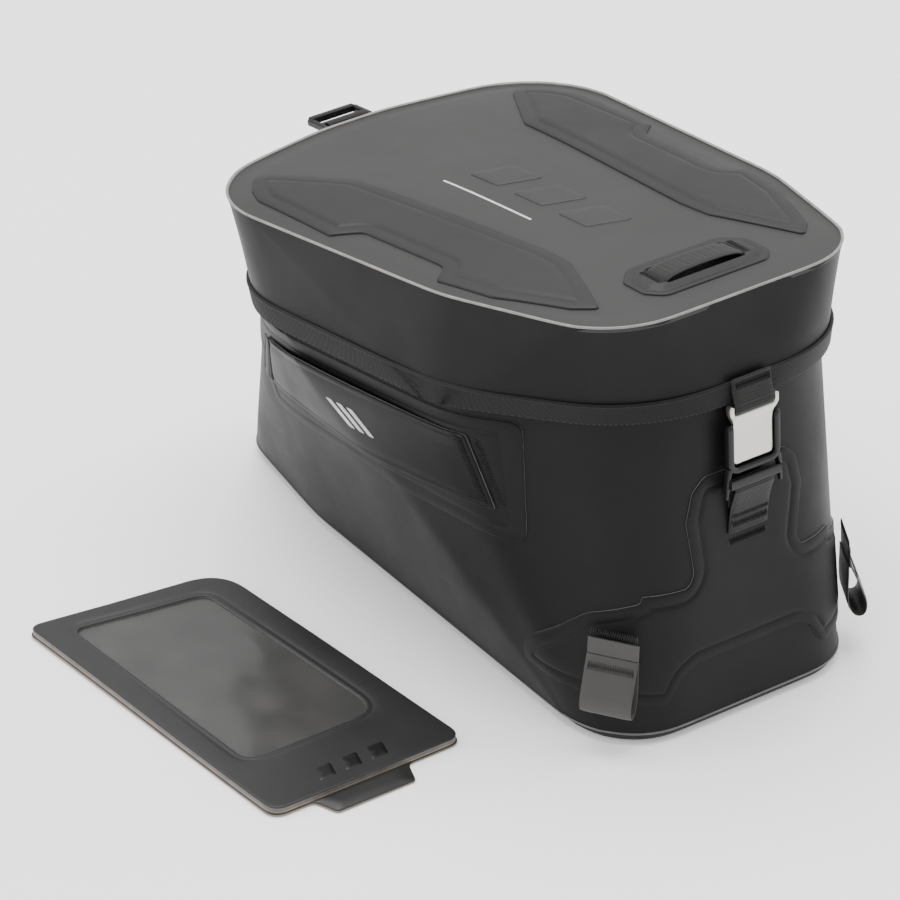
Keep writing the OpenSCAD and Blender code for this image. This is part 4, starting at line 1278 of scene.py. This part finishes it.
def make_pouch():
    sheet_t, core_t = 1.4, 1.4
    tab_radii = [9, 4, 3, 3, 4, 9, 24, 6]
    plain_radii = [9, 9, 24, 6]
    sag = lambda p: 0.45 * waves(p[:, 0], p[:, 1], 9.0, 150) + 0.5 * bump(p[:, 1], 0, 60)

    def place_at(z):
        return lambda p, h: np.column_stack([p + POUCH_POS, z + h + np.clip(sag(p), 0, 2)])

    def edge(t):
        return lambda p, d: t * rounded_edge(d, 0.5, 0.35)
    ring = soften(pouch_corners(0), tab_radii, 1.4)
    back = patch("pouch_back_sheet", ring, place_at(0.02), edge(sheet_t), [M["pouch"], M["core"]],
                 step=8, depths=(0.5,), low=0.0)
    finish_piece(back, "phone_pouch", ["pouch_back"])
    full = soften(pouch_corners(0.5, False), plain_radii, 1.4)
    window = np.array(POUCH_WINDOW)
    hole = soften(window, [9, 16, 10, 7], 1.3)
    core = patch("pouch_core_sheet", full, place_at(sheet_t + 0.02), edge(core_t), [M["core"]],
                 step=8, depths=(0.5,), low=0.0, holes=[soften(window * 1.05, 10, 1.5)])
    finish_piece(core, "phone_pouch", ["pouch_spacer"])

    def frame_height(p, d):
        gap = edge_distance(p, hole)
        return edge(sheet_t)(p, d) + 0.5 * ramp(gap, 2.0, 9.0) - 0.35 * bump(gap, 3.0, 0.7)
    front = patch("pouch_front_sheet", full, place_at(sheet_t + core_t + 0.03), frame_height,
                  [M["pouch"], M["edge"]], step=5, depths=(0.3, 0.7, 2.2, 3.0, 3.8, 6.0), low=0.0, holes=[hole])
    finish_piece(front, "phone_pouch", ["pouch_front"])

    def wavy(p, d):
        x, y = p[:, 0], p[:, 1]
        swell = 1.1 * bump(x + 8, 0, 30) * bump(y - 30, 0, 60)
        return 0.55 + ramp(d, 0, 16) * (0.5 * waves(x, y, 11.0, 62) + 0.22 * waves(x, y, 2.0, 27) + swell)
    clear = patch("pouch_clear_film", soften(window * 1.03, 10, 1.3), place_at(sheet_t + core_t - 0.35), wavy,
                  [M["film"]], step=2.6, depths=(1.5, 3.5), low=0.1)
    finish_piece(clear, "phone_pouch", ["pouch_window"])
    rise = lambda p, d: sheet_t + 0.45 + 0.3 * np.clip(d / 0.5, 0, 1)
    for i in range(3):
        x = 22 - 46 + 48 / 3 * i
        blade = soften([(x, -95), (x + 3.8, -84), (x + 14.4, -84), (x + 10.6, -95)], 1.5, 0.9)
        o = patch(f"pouch_mark_{i + 1}", blade, place_at(sheet_t + core_t), rise, [M["plastic"]],
                  step=3, depths=(0.4,), low=0.4)
        finish_piece(o, "phone_pouch", ["pouch_emblem"])


# ---- studio ----
def make_studio():
    bpy.ops.mesh.primitive_plane_add(size=16, location=(0, 0, -0.0003))
    floor = bpy.context.object
    floor.name = "studio_floor"
    m, _, _ = blank("pale_floor", 0.7, Specular_IOR_Level=0.15, Base_Color=grey(0.95), Emission_Color=grey(1.0),
                    Emission_Strength=0.22)
    floor.data.materials.append(m)
    floor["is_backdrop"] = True
    world = bpy.data.worlds.new("studio_world")
    bpy.context.scene.world = world
    world.use_nodes = True
    sky = world.node_tree.nodes["Background"]
    sky.inputs["Color"].default_value = (1, 1, 1, 1)
    sky.inputs["Strength"].default_value = 1.0

    def area(name, place, target, size, power, tall=None):
        data = bpy.data.lights.new(name, "AREA")
        data.energy = power
        data.size = size
        if tall:
            data.shape = "RECTANGLE"
            data.size_y = tall
        o = bpy.data.objects.new(name, data)
        bpy.context.scene.collection.objects.link(o)
        o.location = place
        o.rotation_euler = (Vector(target) - Vector(place)).to_track_quat("-Z", "Y").to_euler()
    area("overhead_softbox", (0.1, 0.3, 2.2), (0, 0, 0.1), 2.0, 80)
    area("left_strip", (-2.2, 1.3, 0.9), (-0.1, 0.1, 0.12), 1.4, 30, 1.8)
    area("right_strip", (2.3, -0.6, 1.0), (0.1, -0.1, 0.12), 0.7, 22, 1.5)


def make_camera():
    data = bpy.data.cameras.new("camera")
    data.sensor_width = 36.0
    data.lens = 231.6
    data.clip_end = 50
    cam = bpy.data.objects.new("camera", data)
    bpy.context.scene.collection.objects.link(cam)
    right = Vector((0.79162, -0.61090, 0.01176))
    up = Vector((0.29692, 0.40144, 0.86642))
    back = Vector((-0.53402, -0.68238, 0.49918))
    place = Vector((-1.6330, -2.0297, 1.5630))
    turn = Matrix((right, up, back)).transposed().to_4x4()
    cam.matrix_world = Matrix.Translation(place) @ turn
    bpy.context.scene.camera = cam


make_camera()
make_base()
make_wall()
make_lining()
make_collar()
make_rear_patch()
make_side_patches()
make_carry_bands()
make_buckle_webbing()
make_buckle_plate()
make_buckle_frame()
make_tie_loops()
make_lid_panel()
make_rim()
make_skirt()
make_binding()
make_lid_patches()
make_handle()
make_emblem()
make_lid_inside()
make_hinge()
make_front_tab()
make_ladder_lock()
make_pouch()
make_studio()

for name, key in (("base_board", "board"), ("lid_board", "board"), ("mouth_hoop", "hoop")):
    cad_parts[name].data.materials.clear()
    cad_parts[name].data.materials.append(M[key])

plain = lambda box: [[float(v) for v in corner] for corner in box]
{"cad": plain(CAD_BOX), "visual": plain(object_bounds())}
